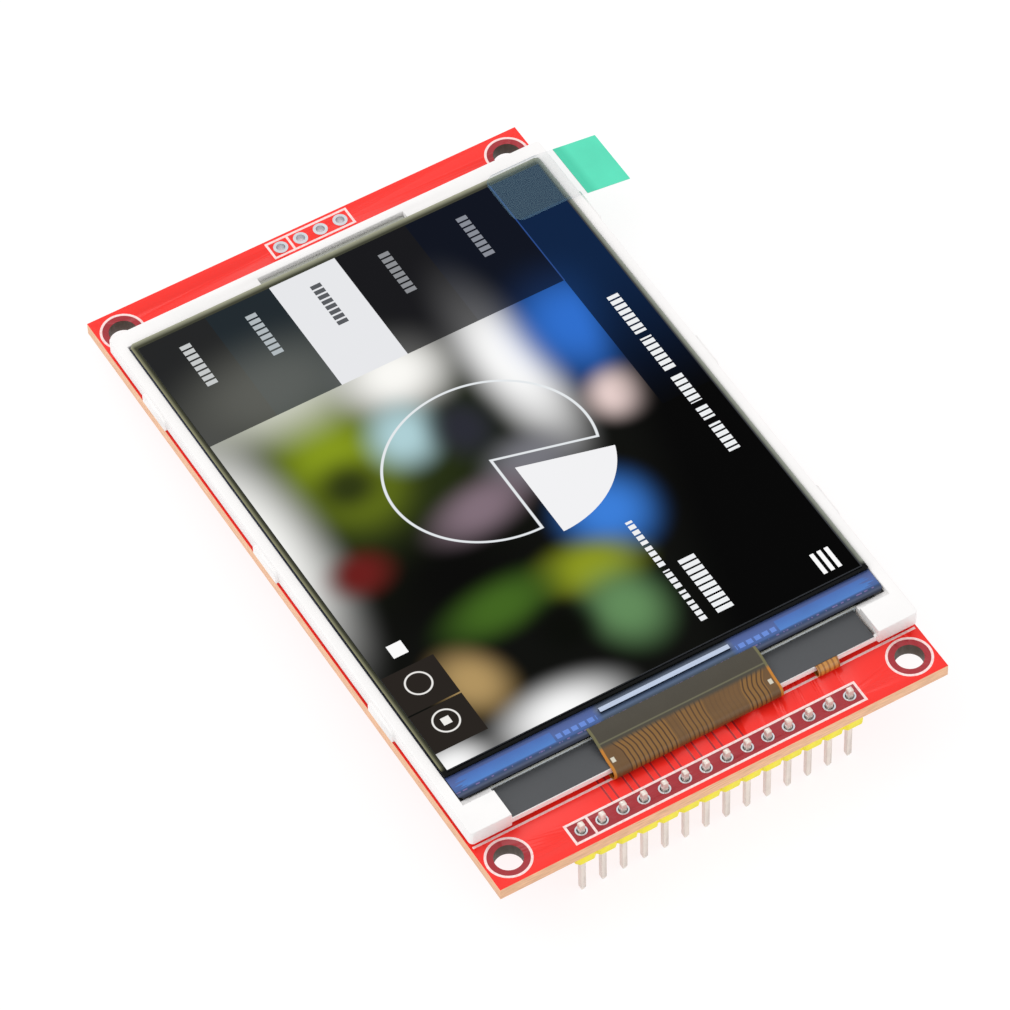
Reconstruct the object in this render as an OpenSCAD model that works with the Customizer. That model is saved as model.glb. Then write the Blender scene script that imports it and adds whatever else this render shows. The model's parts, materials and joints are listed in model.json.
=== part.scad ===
// Colour TFT display module: a backlit glass panel taped to a carrier board that has
// a row of header pins at one end and a memory card socket on its underside.
// Units are millimetres. The origin is the centre of the four mounting holes on the
// board's underside. X runs along the short side, Y away from the pin header and Z up
// through the glass.

/* [Circuit board] */
// Width of the board across its short side
board_w = 55.04; // [52:0.02:64]
// Length of the board from the pin header end to the far end
board_l = 89.3; // [87:0.1:105]
// Thickness of the laminate
board_t = 1.6; // [0.8:0.1:2.4]
// Diameter of the four mounting holes
mount_hole_d = 3.2; // [2.2:0.1:3.4]
// Distance from a long edge to a mounting hole's centre
mount_inset_x = 2.85; // [2.7:0.05:4]
// Distance from a short edge to a mounting hole's centre
mount_inset_y = 3.1; // [2.7:0.05:4]
// Thickness of the copper plating and pads
copper_t = 0.035; // [0.02:0.005:0.07]
// Thickness of the printed white ink
ink_t = 0.03; // [0.02:0.005:0.05]
// Width of a printed line
ink_line = 0.28; // [0.15:0.01:0.4]
// Radius to the middle of the ring printed round a mounting hole
ink_ring_r = 2.45; // [2:0.05:2.6]

/* [Pin header] */
// Number of pins in the row
pin_count = 14; // [4:1:18]
// Distance from one pin to the next
pin_pitch = 2.54; // [2:0.01:2.6]
// Thickness of a square pin
pin_w = 0.64; // [0.4:0.02:0.7]
// Length of a pin below its plastic
pin_reach = 6.3; // [4:0.1:12]
// Height of a pin's soldered tail above the board
pin_tail_h = 1.4; // [1.2:0.1:2]
// Length of the taper at each end of a pin
pin_taper = 0.5; // [0.2:0.05:0.8]
// Distance from the board's end to the middle of the row
header_inset = 2.1; // [1.6:0.05:2.4]
// Height of the plastic that carries the pins
insulator_h = 2.54; // [1.5:0.02:4]
// Width of the plastic that carries the pins
insulator_w = 2.48; // [1.8:0.02:2.6]
// Corner cut between two neighbouring pins
insulator_notch = 0.4; // [0.2:0.05:0.6]
// Gap between a pin's corners and its plated hole
pin_hole_clear = 0.06; // [0.03:0.01:0.1]
// Width of the copper ring round a plated hole that is left open
pad_annulus = 0.3; // [0.2:0.05:0.35]
// Width of the copper ring round a soldered hole
soldered_annulus = 0.15; // [0.1:0.05:0.35]
// Height of a solder cone above its pad
solder_h = 1; // [0.5:0.05:1.1]
// Thickness of the solder over a pin's corners
solder_neck_t = 0.03; // [0.02:0.01:0.1]
// Number of plated holes in the memory card header at the far end
card_header_count = 4; // [2:1:6]
// Distance from the board's far end to the row of the memory card header
card_header_inset = 1.6; // [1.4:0.05:1.8]

/* [Display frame] */
// Distance from the board's pin header end to the display frame
display_inset = 5.9; // [5.5:0.1:7]
// Width of the white frame
frame_w = 55.04; // [52:0.02:60]
// Length of the white frame
frame_l = 78.2; // [74:0.1:79]
// Thickness of the foam tape under the frame
foam_t = 0.8; // [0.5:0.05:1.2]
// Width of a strip of foam tape
foam_w = 7; // [3:0.5:8]
// Distance from the frame's outer edge to the foam tape
foam_inset = 1; // [0.3:0.1:2]
// Gap between the foam tape and the rings printed round the mounting holes
foam_hole_gap = 0.5; // [0.2:0.1:1.5]
// Width of a side rail of the frame
rail_w = 1.3; // [1.2:0.05:2.2]
// Width of the rail at the far end of the frame
far_rail_w = 2.2; // [2:0.05:3]
// Height of the rails above the underside of the lower glass
rail_lip = 0.45; // [0.2:0.05:0.55]
// Width of the seat under the glass
seat_w = 1.1; // [0.6:0.05:2]
// Clearance round the glass in its frame
glass_clear = 0.1; // [0.05:0.01:0.2]
// Distance from the front of the frame to the glass
bay_d = 4.5; // [4.2:0.1:6]
// Height of the low front wall
front_wall_h = 0.8; // [0.7:0.05:1]
// Thickness of the low front wall
front_wall_t = 0.4; // [0.3:0.05:0.6]
// How far the low front wall stands back from the corner blocks
front_wall_back = 0.3; // [0.1:0.05:0.4]
// Width of a corner block at the front of the frame
block_w = 5; // [3:0.1:6]
// Depth of a corner block at the front of the frame
block_d = 3.7; // [2.5:0.1:4]
// Radius of the frame's outer corners
frame_corner_r = 0.5; // [0.2:0.05:1]
// Number of latches on each side rail
latch_count = 3; // [1:1:3]
// Distance from the front of the frame to the middle of the first latch
latch_first = 18.2; // [12:0.1:20]
// Distance from one latch to the next
latch_pitch = 24.6; // [10:0.1:26]
// Length of a latch
latch_l = 5; // [2:0.1:8]
// How far a latch stands out of its rail
latch_out = 0.35; // [0.1:0.05:0.6]
// How far a latch's top lies below the rail's top
latch_drop = 0.45; // [0.2:0.05:0.8]
// Width of the tab at the far end of the optical films
film_tab_w = 18.4; // [6:0.1:30]
// Length of the tab at the far end of the optical films
film_tab_l = 2.3; // [1.5:0.05:2.4]

/* [Backlight] */
// Thickness of the reflector film
reflector_t = 0.1; // [0.05:0.01:0.2]
// Thickness of the clear light guide
guide_t = 0.9; // [0.8:0.05:1.4]
// Thickness of the diffuser film
diffuser_t = 0.1; // [0.05:0.01:0.2]
// Thickness of each prism film
prism_t = 0.1; // [0.05:0.01:0.2]
// Air gap between the top prism film and the lower polarizer
film_air = 0.05; // [0.02:0.01:0.2]
// Clearance round the light guide and the films
film_clear = 0.1; // [0.05:0.01:0.3]
// Thickness of the black tape round the window
rim_tape_t = 0.05; // [0.03:0.01:0.08]
// Thickness of the dark tape over the lamp bay
bay_tape_t = 0.08; // [0.04:0.01:0.12]
// Gap between the corner blocks and the tape and the lamp strip between them
bay_gap = 0.3; // [0.1:0.05:0.6]
// Thickness of the lamp strip's flexible circuit
strip_t = 0.12; // [0.08:0.01:0.18]
// Number of lamps along the light guide's edge
lamp_count = 6; // [1:1:9]
// Length of a lamp along the light guide's edge
lamp_l = 3; // [1.5:0.1:4]
// Depth of a lamp
lamp_d = 1.2; // [0.6:0.1:1.6]
// Width of the tail that feeds the lamps
tail_w = 2.6; // [2:0.1:4]
// Distance from the frame's middle to the middle of the tail
tail_x = 16.2; // [14.5:0.1:17.5]
// Length of the tail's soldered end under the frame
tail_tuck = 3; // [2:0.1:5]

/* [Glass] */
// Thickness of the lower polarizer
lower_polarizer_t = 0.15; // [0.08:0.01:0.25]
// Thickness of the lower glass, which carries the transistors
array_t = 0.4; // [0.3:0.05:0.7]
// Thickness of the upper glass, which carries the colour filter
filter_t = 0.4; // [0.3:0.05:0.7]
// Thickness of the upper polarizer
polarizer_t = 0.2; // [0.1:0.01:0.3]
// Width of the ledge that the upper glass leaves bare
ledge_d = 3.1; // [2.8:0.05:4]
// Distance from the glass edge to the upper polarizer at the sides
polarizer_margin = 0.55; // [0.3:0.05:1.5]
// Distance from the glass edge to the upper polarizer at the far end
polarizer_far_margin = 1.1; // [0.5:0.05:2]
// Distance from the glass edge to the upper polarizer at the front
polarizer_front_margin = 0.4; // [0.2:0.05:1]
// Corner cut of both sheets of glass
glass_corner = 0.4; // [0.1:0.05:0.8]
// Length of the driver chip along the ledge
chip_l = 16; // [8:0.1:20]
// Depth of the driver chip
chip_d = 0.6; // [0.5:0.05:0.8]
// Height of the driver chip above the ledge
chip_t = 0.3; // [0.15:0.01:0.38]
// Gap between the driver chip and the flexible cable
chip_gap = 1; // [0.5:0.05:1.1]

/* [Flexible cable] */
// Width of the flexible cable
flex_w = 20.8; // [10:0.1:24]
// Thickness of the flexible cable
flex_t = 0.12; // [0.08:0.01:0.16]
// Depth of the strip where the cable is bonded to the glass
flex_bond = 0.75; // [0.6:0.05:0.9]
// Gap between the cable and the tape on the front wall
flex_clear = 0.05; // [0.03:0.01:0.1]
// How far the bend's centre lies behind the front wall's face
bend_back = 0.08; // [0.05:0.01:0.1]
// Length of the cable under the frame
flex_tuck = 8; // [5:0.5:14]
// Length of the cable's solder pads
flex_pad_l = 2; // [1:0.1:3]
// Number of the cable's solder pads
flex_pad_count = 18; // [6:1:22]
// First header pin, counted from the pin at -X, that has a track to the cable
track_first = 2; // [0:1:8]
// Number of tracks between the header and the cable
track_count = 7; // [1:1:9]
// Width of a track
track_w = 0.65; // [0.3:0.05:1]

/* [Pull tab] */
// Width of the protective film's pull tab
tab_w = 7.6; // [4:0.1:12]
// Distance from the frame's far end to the pull tab
tab_inset = 2.2; // [1:0.1:10]
// Length of the clear strip over the display, from the frame's edge inwards
tab_strip_l = 8.6; // [4:0.1:14]
// Length of the green grip
tab_grip_l = 5.6; // [3:0.1:10]
// Distance from the frame's edge to the green grip
tab_grip_gap = 0.6; // [0.2:0.1:2]
// Thickness of the pull tab
tab_t = 0.08; // [0.05:0.01:0.15]
// Slope of the pull tab beyond the upper polarizer, in degrees
tab_slope = 9; // [0:0.5:10]
// Corner radius of the clear strip
tab_corner_r = 1.5; // [0.3:0.1:1.8]

/* [Memory card socket] */
// Distance from the board's far end to the socket
socket_far_inset = 6.8; // [6.2:0.1:10]
// Distance from the board's long edge to the socket's mouth
socket_mouth_inset = 0.3; // [0:0.05:1]
// Depth of the socket from its mouth to its back
socket_l = 28; // [26:0.1:30]
// Thickness of the sheet steel shell
shell_t = 0.2; // [0.15:0.01:0.3]
// Width of the card that fits the socket
card_w = 24; // [20:0.1:25]
// Thickness of the card that fits the socket
card_t = 2.1; // [1.4:0.05:2.4]
// Clearance on each side of the card
card_side_clear = 0.2; // [0.1:0.05:0.4]
// Clearance over the card
card_top_clear = 0.15; // [0.1:0.01:0.3]
// Width of the plastic rail on each side of the card
socket_rail_w = 1.6; // [1.2:0.05:2.5]
// Thickness of the plastic floor between the card and the board
socket_floor_t = 0.45; // [0.3:0.05:0.6]
// Depth of the plastic block behind the card
socket_block_d = 5; // [3.5:0.1:7]
// Number of contacts
contact_count = 9; // [3:1:9]
// Distance from one contact to the next
contact_pitch = 2.5; // [1.6:0.05:2.6]
// Width of a contact
contact_w = 0.8; // [0.5:0.05:1]
// Thickness of a contact
contact_t = 0.2; // [0.1:0.01:0.25]
// Length of a contact's soldered foot behind the socket
contact_foot_l = 1.3; // [0.8:0.1:2]
// Clearance round a contact in the plastic
contact_clear = 0.05; // [0.02:0.01:0.1]

/* [Small parts] */
// Distance from the board's middle to the column of small parts at -X
column_x = 16; // [12:0.5:18]
// Distance from one small part to the next in the column
column_step = 3; // [2.5:0.1:3.2]
// Distance from the row of header pins to the first row of small parts
parts_inset = 12.5; // [8:0.5:14]
// Length of a surface mounted resistor or capacitor
passive_l = 1.6; // [1:0.05:2]
// Width of a surface mounted resistor or capacitor
passive_w = 0.8; // [0.5:0.05:1.2]
// Height of a surface mounted resistor
resistor_h = 0.45; // [0.3:0.05:0.6]
// Height of a surface mounted capacitor
capacitor_h = 0.8; // [0.5:0.05:1]
// Length of the metal end of a resistor or capacitor
passive_end_l = 0.3; // [0.2:0.05:0.4]
// Length of a three-lead package
package_l = 2.9; // [2.5:0.05:3.2]
// Width of a three-lead package
package_w = 1.3; // [1.1:0.05:1.7]
// Height of a three-lead package
package_h = 1.1; // [0.8:0.05:1.3]
// Width of a lead
lead_w = 0.4; // [0.3:0.05:0.5]
// Thickness of a lead
lead_t = 0.15; // [0.1:0.01:0.2]
// Distance from a package to the tip of its lead
lead_out = 0.55; // [0.4:0.05:0.8]
// Distance between the two leads on one side of a package
lead_pitch = 1.9; // [1.6:0.05:2.1]
// Number of pads in each row of the unused chip footprint
spare_pad_count = 8; // [4:1:10]
// Distance from one pad to the next in the unused chip footprint
spare_pad_pitch = 0.65; // [0.5:0.05:0.8]

/* [Hidden] */

// How far a cutting shape runs past the face that it cuts
past = 0.5;

// Board
half_w = board_w / 2;
half_l = board_l / 2;
hole_x = half_w - mount_inset_x;
hole_y = half_l - mount_inset_y;
header_y = header_inset - half_l;
card_header_y = half_l - card_header_inset;
pin_hole_d = pin_w * sqrt(2) + 2 * pin_hole_clear;
plated_hole_d = pin_hole_d + 2 * copper_t;
pad_d = plated_hole_d + 2 * pad_annulus;
soldered_pad_d = plated_hole_d + 2 * soldered_annulus;
// Hollow side of a solder cone: the share of its foot's swell left at a share of its height
cone_sides = [[1, 0], [0.9, 0.1], [0.55, 0.3], [0.2, 0.5], [0.05, 0.75], [0, 1]];

// Display frame, from the board upwards
frame_y0 = display_inset - half_l;
frame_y1 = frame_y0 + frame_l;
frame_z = board_t + foam_t;
guide_z = frame_z + reflector_t;
diffuser_z = guide_z + guide_t;
lower_prism_z = diffuser_z + diffuser_t;
upper_prism_z = lower_prism_z + prism_t;
lower_polarizer_z = upper_prism_z + prism_t + film_air;
array_z = lower_polarizer_z + lower_polarizer_t;
seat_z = array_z - rim_tape_t;
filter_z = array_z + array_t;
polarizer_z = filter_z + filter_t;
tab_z = polarizer_z + polarizer_t;
rail_top_z = array_z + rail_lip;
front_wall_z = frame_z + front_wall_h;
strip_z = front_wall_z - strip_t;
bay_tape_z = front_wall_z;

// Glass and window, seen from above
glass_w = frame_w - 2 * (rail_w + glass_clear);
glass_y0 = frame_y0 + bay_d;
glass_y1 = frame_y1 - far_rail_w - glass_clear;
filter_y0 = glass_y0 + ledge_d;
window_w = glass_w - 2 * seat_w;
window_y1 = glass_y1 - seat_w;
bay_half_w = frame_w / 2 - block_w;
wall_y0 = frame_y0 + front_wall_back;
bay_y0 = wall_y0 + front_wall_t;
film_w = window_w - 2 * film_clear;
film_y0 = glass_y0 + film_clear;
film_y1 = window_y1 - film_clear;
polarizer_w = glass_w - 2 * polarizer_margin;

// Bends of the two flexible circuits round the front wall
pad_top_z = board_t + copper_t;
bend_y = wall_y0 + bend_back;
flex_top_z = bay_tape_z + bay_tape_t + flex_clear + flex_t;
tail_top_z = strip_z + strip_t;
flex_end_y = bend_y + flex_tuck;
tail_end_y = bend_y + tail_tuck;
flex_pad_pitch = flex_w / (flex_pad_count + 1);

// Pull tab, from its inner end over the edge of the polarizer to the grip
tab_x0 = frame_w / 2 - tab_strip_l;
tab_fold_x = polarizer_w / 2;
tab_mid_x = frame_w / 2 + tab_grip_gap;
tab_mid_z = tab_z - (tab_mid_x - tab_fold_x) * tan(tab_slope);

// Memory card socket, measured down from the board
socket_w = card_w + 2 * (card_side_clear + socket_rail_w + shell_t);
socket_h = shell_t + card_t + card_top_clear + socket_floor_t;
socket_x1 = half_w - socket_mouth_inset;
socket_x0 = socket_x1 - socket_l;
socket_y1 = half_l - socket_far_inset;
socket_y = socket_y1 - socket_w / 2;
contact_rise = card_t / 2;

// Places of the small parts on the underside, set out from the row of header pins
parts_y = header_y + parts_inset;
regulator_at = [-column_x, parts_y];
transistor_at = [column_x, parts_y - column_step];
resistor_places = concat(
    [for (i = [6 : 10]) [-column_x, parts_y + i * column_step]],
    [[column_x, parts_y + 2 * column_step], [column_x - 2 * column_step, parts_y]]
);
capacitor_places = [
    for (side = [-1, 1]) [-column_x + 2 * side * column_step, parts_y + column_step],
    for (i = [12, 13]) [-column_x, parts_y + i * column_step]
];
jumper_at = [-column_x / 4, parts_y];
spare_chip_at = [column_x - 3 * column_step, parts_y + 5 * column_step];
spare_row_gap = 5.6;
spare_pad_l = 1.4;
jumper_pad_l = 1.4;
jumper_gap = 0.4;

// A centred rectangle with round corners
module round_plate(w, l, h, r) {
    linear_extrude(h) {
        square([w - 2 * r, l], center = true);
        square([w, l - 2 * r], center = true);
        for (sx = [-1, 1], sy = [-1, 1])
            translate([sx * (w / 2 - r), sy * (l / 2 - r)])
                circle(r, $fn = 32);
    }
}

// A plate centred on X between two Y values, with its front or far corners cut
module cut_plate(w, y0, y1, h, front_cut, far_cut) {
    linear_extrude(h)
        polygon([
            [-w / 2 + front_cut, y0], [w / 2 - front_cut, y0], [w / 2, y0 + front_cut],
            [w / 2, y1 - far_cut], [w / 2 - far_cut, y1], [-w / 2 + far_cut, y1],
            [-w / 2, y1 - far_cut], [-w / 2, y0 + front_cut]
        ]);
}

// A plain plate centred on X between two Y values
module span_plate(w, y0, y1, h) {
    translate([-w / 2, y0, 0])
        cube([w, y1 - y0, h]);
}

// A printed outline whose line is centred on the given rectangle
module outline_print(w, l) {
    linear_extrude(ink_t)
        difference() {
            square([w + ink_line, l + ink_line], center = true);
            square([w - ink_line, l - ink_line], center = true);
        }
}

module ring_print() {
    difference() {
        cylinder(h = ink_t, r = ink_ring_r + ink_line / 2, $fn = 64);
        translate([0, 0, -past])
            cylinder(h = ink_t + 2 * past, r = ink_ring_r - ink_line / 2, $fn = 64);
    }
}

module at_mount_holes() {
    for (sx = [-1, 1], sy = [-1, 1])
        translate([sx * hole_x, sy * hole_y, 0])
            children();
}

module at_pins() {
    for (i = [0 : pin_count - 1])
        translate([(i - (pin_count - 1) / 2) * pin_pitch, header_y, 0])
            children();
}

module at_card_header() {
    for (i = [0 : card_header_count - 1])
        translate([(i - (card_header_count - 1) / 2) * pin_pitch, card_header_y, 0])
            children();
}

// A plated hole: a tube with a flat ring on each face of the board
module barrel(ring_d) {
    rotate_extrude($fn = 48)
        polygon([
            [pin_hole_d / 2, -copper_t], [ring_d / 2, -copper_t], [ring_d / 2, 0],
            [plated_hole_d / 2, 0], [plated_hole_d / 2, board_t], [ring_d / 2, board_t],
            [ring_d / 2, pad_top_z], [pin_hole_d / 2, pad_top_z]
        ]);
}

// The side view of a flexible circuit that runs back under the frame from a half-round
// bend. The axes are Y and Z, and the circuit's upper face meets the bend at top_z.
module bend_profile(top_z, t, end_y) {
    outer_r = (top_z - pad_top_z) / 2;
    difference() {
        translate([bend_y, pad_top_z + outer_r])
            circle(outer_r, $fn = 64);
        translate([bend_y, pad_top_z + outer_r])
            circle(outer_r - t, $fn = 64);
        translate([bend_y, pad_top_z - past])
            square([outer_r + past, 2 * outer_r + 2 * past]);
    }
    translate([bend_y, pad_top_z])
        square([end_y - bend_y, t]);
}

// Turns a side view in Y and Z into a solid of width w that is centred on X
module sweep_x(w) {
    translate([-w / 2, 0, 0])
        rotate([90, 0, 90])
            linear_extrude(w)
                children();
}

module circuit_board() {
    color("#FF4A40")
        difference() {
            translate([-half_w, -half_l, 0])
                cube([board_w, board_l, board_t]);
            at_mount_holes()
                translate([0, 0, -past])
                    cylinder(h = board_t + 2 * past, d = mount_hole_d, $fn = 64);
            at_pins()
                translate([0, 0, -past])
                    cylinder(h = board_t + 2 * past, d = plated_hole_d, $fn = 48);
            at_card_header()
                translate([0, 0, -past])
                    cylinder(h = board_t + 2 * past, d = plated_hole_d, $fn = 48);
        }
}

module front_print() {
    color("#FFD9D4")
        translate([0, 0, board_t]) {
            at_mount_holes()
                ring_print();
            translate([0, header_y, 0])
                outline_print(pin_count * pin_pitch, pin_pitch);
            translate([(1 - pin_count / 2) * pin_pitch - ink_line / 2, header_y - pin_pitch / 2, 0])
                cube([ink_line, pin_pitch, ink_t]);
            translate([0, card_header_y, 0])
                outline_print(card_header_count * pin_pitch, pin_pitch - ink_line);
            translate([(1 - card_header_count / 2) * pin_pitch - ink_line / 2,
                       card_header_y - pin_pitch / 2 + ink_line / 2, 0])
                cube([ink_line, pin_pitch - ink_line, ink_t]);
            translate([-half_w + ink_line, frame_y0, 0])
                cube([board_w - 2 * ink_line, ink_line, ink_t]);
        }
}

module back_print() {
    color("#FFD9D4")
        translate([0, 0, -ink_t]) {
            at_mount_holes()
                ring_print();
            translate([0, header_y, 0])
                outline_print(pin_count * pin_pitch, pin_pitch + ink_line);
            translate([0, card_header_y, 0])
                outline_print(card_header_count * pin_pitch, pin_pitch - ink_line);
            translate(spare_chip_at)
                outline_print(spare_row_gap - spare_pad_l - 3 * ink_line,
                              spare_pad_count * spare_pad_pitch);
            for (at = concat(resistor_places, capacitor_places))
                translate(at)
                    outline_print(passive_l + 3 * ink_line, passive_w + 3 * ink_line);
        }
}

module front_tracks() {
    color("#E63A32")
        for (i = [track_first : min(track_first + track_count, pin_count) - 1])
            translate([(i - (pin_count - 1) / 2) * pin_pitch - track_w / 2,
                       header_y + pin_pitch / 2 + ink_line / 2, board_t])
                cube([track_w, frame_y0 - header_y - pin_pitch / 2 - ink_line / 2, copper_t]);
}

module header_barrels() {
    color("#C9CDD2")
        at_pins()
            barrel(soldered_pad_d);
}

module card_header_barrels() {
    color("#C9CDD2")
        at_card_header()
            barrel(pad_d);
}

module header_insulator() {
    half_pitch = pin_pitch / 2;
    half_side = insulator_w / 2;
    spine_w = insulator_w - 2 * insulator_notch;
    color("#FFF03C")
        difference() {
            translate([0, 0, -copper_t - insulator_h])
                linear_extrude(insulator_h) {
                    translate([0, header_y])
                        square([pin_count * pin_pitch, spine_w], center = true);
                    at_pins()
                        polygon([
                            [-half_pitch, -half_side + insulator_notch],
                            [-half_pitch + insulator_notch, -half_side],
                            [half_pitch - insulator_notch, -half_side],
                            [half_pitch, -half_side + insulator_notch],
                            [half_pitch, half_side - insulator_notch],
                            [half_pitch - insulator_notch, half_side],
                            [-half_pitch + insulator_notch, half_side],
                            [-half_pitch, half_side - insulator_notch]
                        ]);
                }
            at_pins()
                translate([-pin_w / 2, -pin_w / 2, -copper_t - insulator_h - past])
                    cube([pin_w, pin_w, insulator_h + 2 * past]);
        }
}

// The side view of a square pin, tapered at both ends. The axes are X and Z.
module pin_profile() {
    low_z = -copper_t - insulator_h - pin_reach;
    high_z = board_t + pin_tail_h;
    tip = pin_w / 4;
    polygon([
        [-tip, low_z], [tip, low_z], [pin_w / 2, low_z + pin_taper],
        [pin_w / 2, high_z - pin_taper / 2], [tip, high_z], [-tip, high_z],
        [-pin_w / 2, high_z - pin_taper / 2], [-pin_w / 2, low_z + pin_taper]
    ]);
}

module header_pins() {
    color("#D8CCC4")
        at_pins()
            intersection() {
                sweep_x(pin_w)
                    pin_profile();
                rotate([0, 0, 90])
                    sweep_x(pin_w)
                        pin_profile();
            }
}

// Solder fills the plated hole and climbs the pin's tail like the neck of a bottle
module solder_cones() {
    foot_r = soldered_pad_d / 2;
    neck_r = pin_w * sqrt(2) / 2 + solder_neck_t;
    swell = foot_r - neck_r;
    color("#C4CCCA")
        at_pins()
            difference() {
                union() {
                    translate([0, 0, pad_top_z])
                        rotate_extrude($fn = 32)
                            polygon(concat(
                                [[0, 0]],
                                [for (p = cone_sides) [neck_r + p[0] * swell, p[1] * solder_h]],
                                [[0, solder_h]]
                            ));
                    cylinder(h = pad_top_z + solder_h / 2, d = pin_hole_d, $fn = 32);
                }
                translate([-pin_w / 2, -pin_w / 2, -past])
                    cube([pin_w, pin_w, board_t + solder_h + 2 * past]);
            }
}

module flex_pads() {
    color("#C9A65A")
        for (i = [1 : flex_pad_count])
            translate([(i - (flex_pad_count + 1) / 2) * flex_pad_pitch - flex_pad_pitch / 4,
                       flex_end_y - flex_pad_l, board_t])
                cube([flex_pad_pitch / 2, flex_pad_l, copper_t]);
}

module backlight_pads() {
    color("#C9A65A")
        for (side = [-1, 1])
            translate([tail_x + side * tail_w / 4 - tail_w / 6, tail_end_y - tail_tuck / 2, board_t])
                cube([tail_w / 3, tail_tuck / 2, copper_t]);
}

module foam_tape() {
    strip_x = frame_w / 2 - foam_inset - foam_w;
    strip_y0 = frame_y0 + foam_inset;
    ring_y = hole_y - ink_ring_r - ink_line / 2;
    strip_y1 = min(frame_y1 - foam_inset, ring_y - foam_hole_gap);
    color("#2A2624")
        translate([0, 0, board_t]) {
            for (side = [-1, 1])
                translate([side * (strip_x + foam_w / 2) - foam_w / 2, strip_y0, 0])
                    cube([foam_w, strip_y1 - strip_y0, foam_t]);
            translate([-strip_x - foam_w / 2, strip_y1 - foam_w, 0])
                cube([2 * strip_x + foam_w, foam_w, foam_t]);
        }
}

// A latch stands out of its rail and is rooted in it
module latch() {
    h = rail_top_z - frame_z - latch_drop;
    root = rail_w / 2;
    translate([-root, 0, 0])
        rotate([90, 0, 90])
            linear_extrude(root + latch_out)
                polygon([
                    [-latch_l / 2, 0], [latch_l / 2, 0], [latch_l / 2, h - latch_out],
                    [latch_l / 2 - latch_out, h], [latch_out - latch_l / 2, h],
                    [-latch_l / 2, h - latch_out]
                ]);
}

module backlight_frame() {
    rail_h = rail_top_z - frame_z;
    color("#FAF8F6") {
        difference() {
            translate([0, (frame_y0 + frame_y1) / 2, frame_z])
                round_plate(frame_w, frame_l, rail_h, frame_corner_r);
            // Pocket for both sheets of glass
            translate([0, 0, seat_z])
                span_plate(glass_w + 2 * glass_clear, frame_y0 + block_d, glass_y1 + glass_clear,
                           rail_h);
            // Low front wall between the corner blocks, set back from their faces
            translate([0, 0, front_wall_z])
                span_plate(2 * bay_half_w, frame_y0 - past, frame_y0 + block_d + past, rail_h);
            translate([0, 0, frame_z - past])
                span_plate(2 * bay_half_w, frame_y0 - past, wall_y0, rail_h + past);
            // Bay for the lamps and window for the light guide
            translate([0, 0, frame_z - past])
                span_plate(2 * bay_half_w, bay_y0, glass_y0, rail_h + past);
            translate([0, 0, frame_z - past])
                span_plate(window_w, glass_y0, window_y1, rail_h + past);
            // Slot for the tabs of the optical films
            translate([0, 0, diffuser_z])
                span_plate(film_tab_w + 2 * film_clear, film_y1,
                           film_y1 + film_tab_l + film_clear, rail_h);
            // Gap in the front wall for the lamp strip's tail
            translate([tail_x - tail_w / 2 - film_clear, wall_y0 - past, strip_z - flex_clear])
                cube([tail_w + 2 * film_clear, front_wall_t + 2 * past, rail_h]);
        }
        for (i = [0 : latch_count - 1], side = [0, 1])
            mirror([side, 0, 0])
                translate([frame_w / 2, frame_y0 + latch_first + i * latch_pitch, frame_z])
                    latch();
    }
}

module reflector_film() {
    color("#F4F4F2")
        translate([0, 0, frame_z]) {
            span_plate(2 * (bay_half_w - film_clear), bay_y0 + film_clear, film_y1, reflector_t);
            span_plate(film_w, glass_y0, film_y1, reflector_t);
        }
}

module light_guide() {
    color("#E8F4FA", 0.6)
        translate([0, 0, guide_z])
            cut_plate(film_w, film_y0, film_y1, guide_t, glass_corner, glass_corner);
}

// An optical film with a tab at its far end, which holds it in the frame's slot
module optical_film(z, t) {
    translate([0, 0, z]) {
        span_plate(film_w, film_y0, film_y1, t);
        span_plate(film_tab_w, film_y1 - film_tab_l, film_y1 + film_tab_l, t);
    }
}

module diffuser_film() {
    color("#ECEEEC")
        optical_film(diffuser_z, diffuser_t);
}

module lower_prism_film() {
    color("#C8CCC8")
        optical_film(lower_prism_z, prism_t);
}

module upper_prism_film() {
    color("#ACADA6")
        optical_film(upper_prism_z, prism_t);
}

module lamps() {
    lamp_step = 2 * bay_half_w / lamp_count;
    color("#FFF6C8")
        for (i = [0 : lamp_count - 1])
            translate([(i + 0.5) * lamp_step - bay_half_w - lamp_l / 2, glass_y0 - lamp_d, guide_z])
                cube([lamp_l, lamp_d, strip_z - guide_z]);
}

module lamp_strip() {
    strip_half_w = bay_half_w - bay_gap;
    color("#D69A3C") {
        translate([0, 0, strip_z])
            span_plate(2 * strip_half_w, bay_y0 + film_clear, glass_y0, strip_t);
        translate([tail_x, 0, 0])
            sweep_x(tail_w) {
                bend_profile(tail_top_z, strip_t, tail_end_y);
                translate([bend_y, strip_z])
                    square([glass_y0 - bend_y, strip_t]);
            }
    }
}

module lamp_bay_tape() {
    color("#4C4D50")
        translate([0, 0, bay_tape_z])
            span_plate(2 * (bay_half_w - bay_gap), wall_y0 + film_clear, glass_y0, bay_tape_t);
}

// The tape lies on the frame's seat along both sides and the far end of the glass
module rim_tape() {
    color("#1E1E20")
        translate([0, 0, seat_z])
            difference() {
                span_plate(glass_w, glass_y0, glass_y1, rim_tape_t);
                translate([0, 0, -past])
                    span_plate(window_w, glass_y0 - past, window_y1, rim_tape_t + 2 * past);
                translate([0, 0, -past])
                    span_plate(film_tab_w + 2 * film_clear, window_y1 - past, glass_y1 + past,
                               rim_tape_t + 2 * past);
            }
}

module lower_polarizer() {
    color("#3A3D40")
        translate([0, 0, lower_polarizer_z])
            span_plate(film_w, glass_y0 + polarizer_margin, film_y1, lower_polarizer_t);
}

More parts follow.
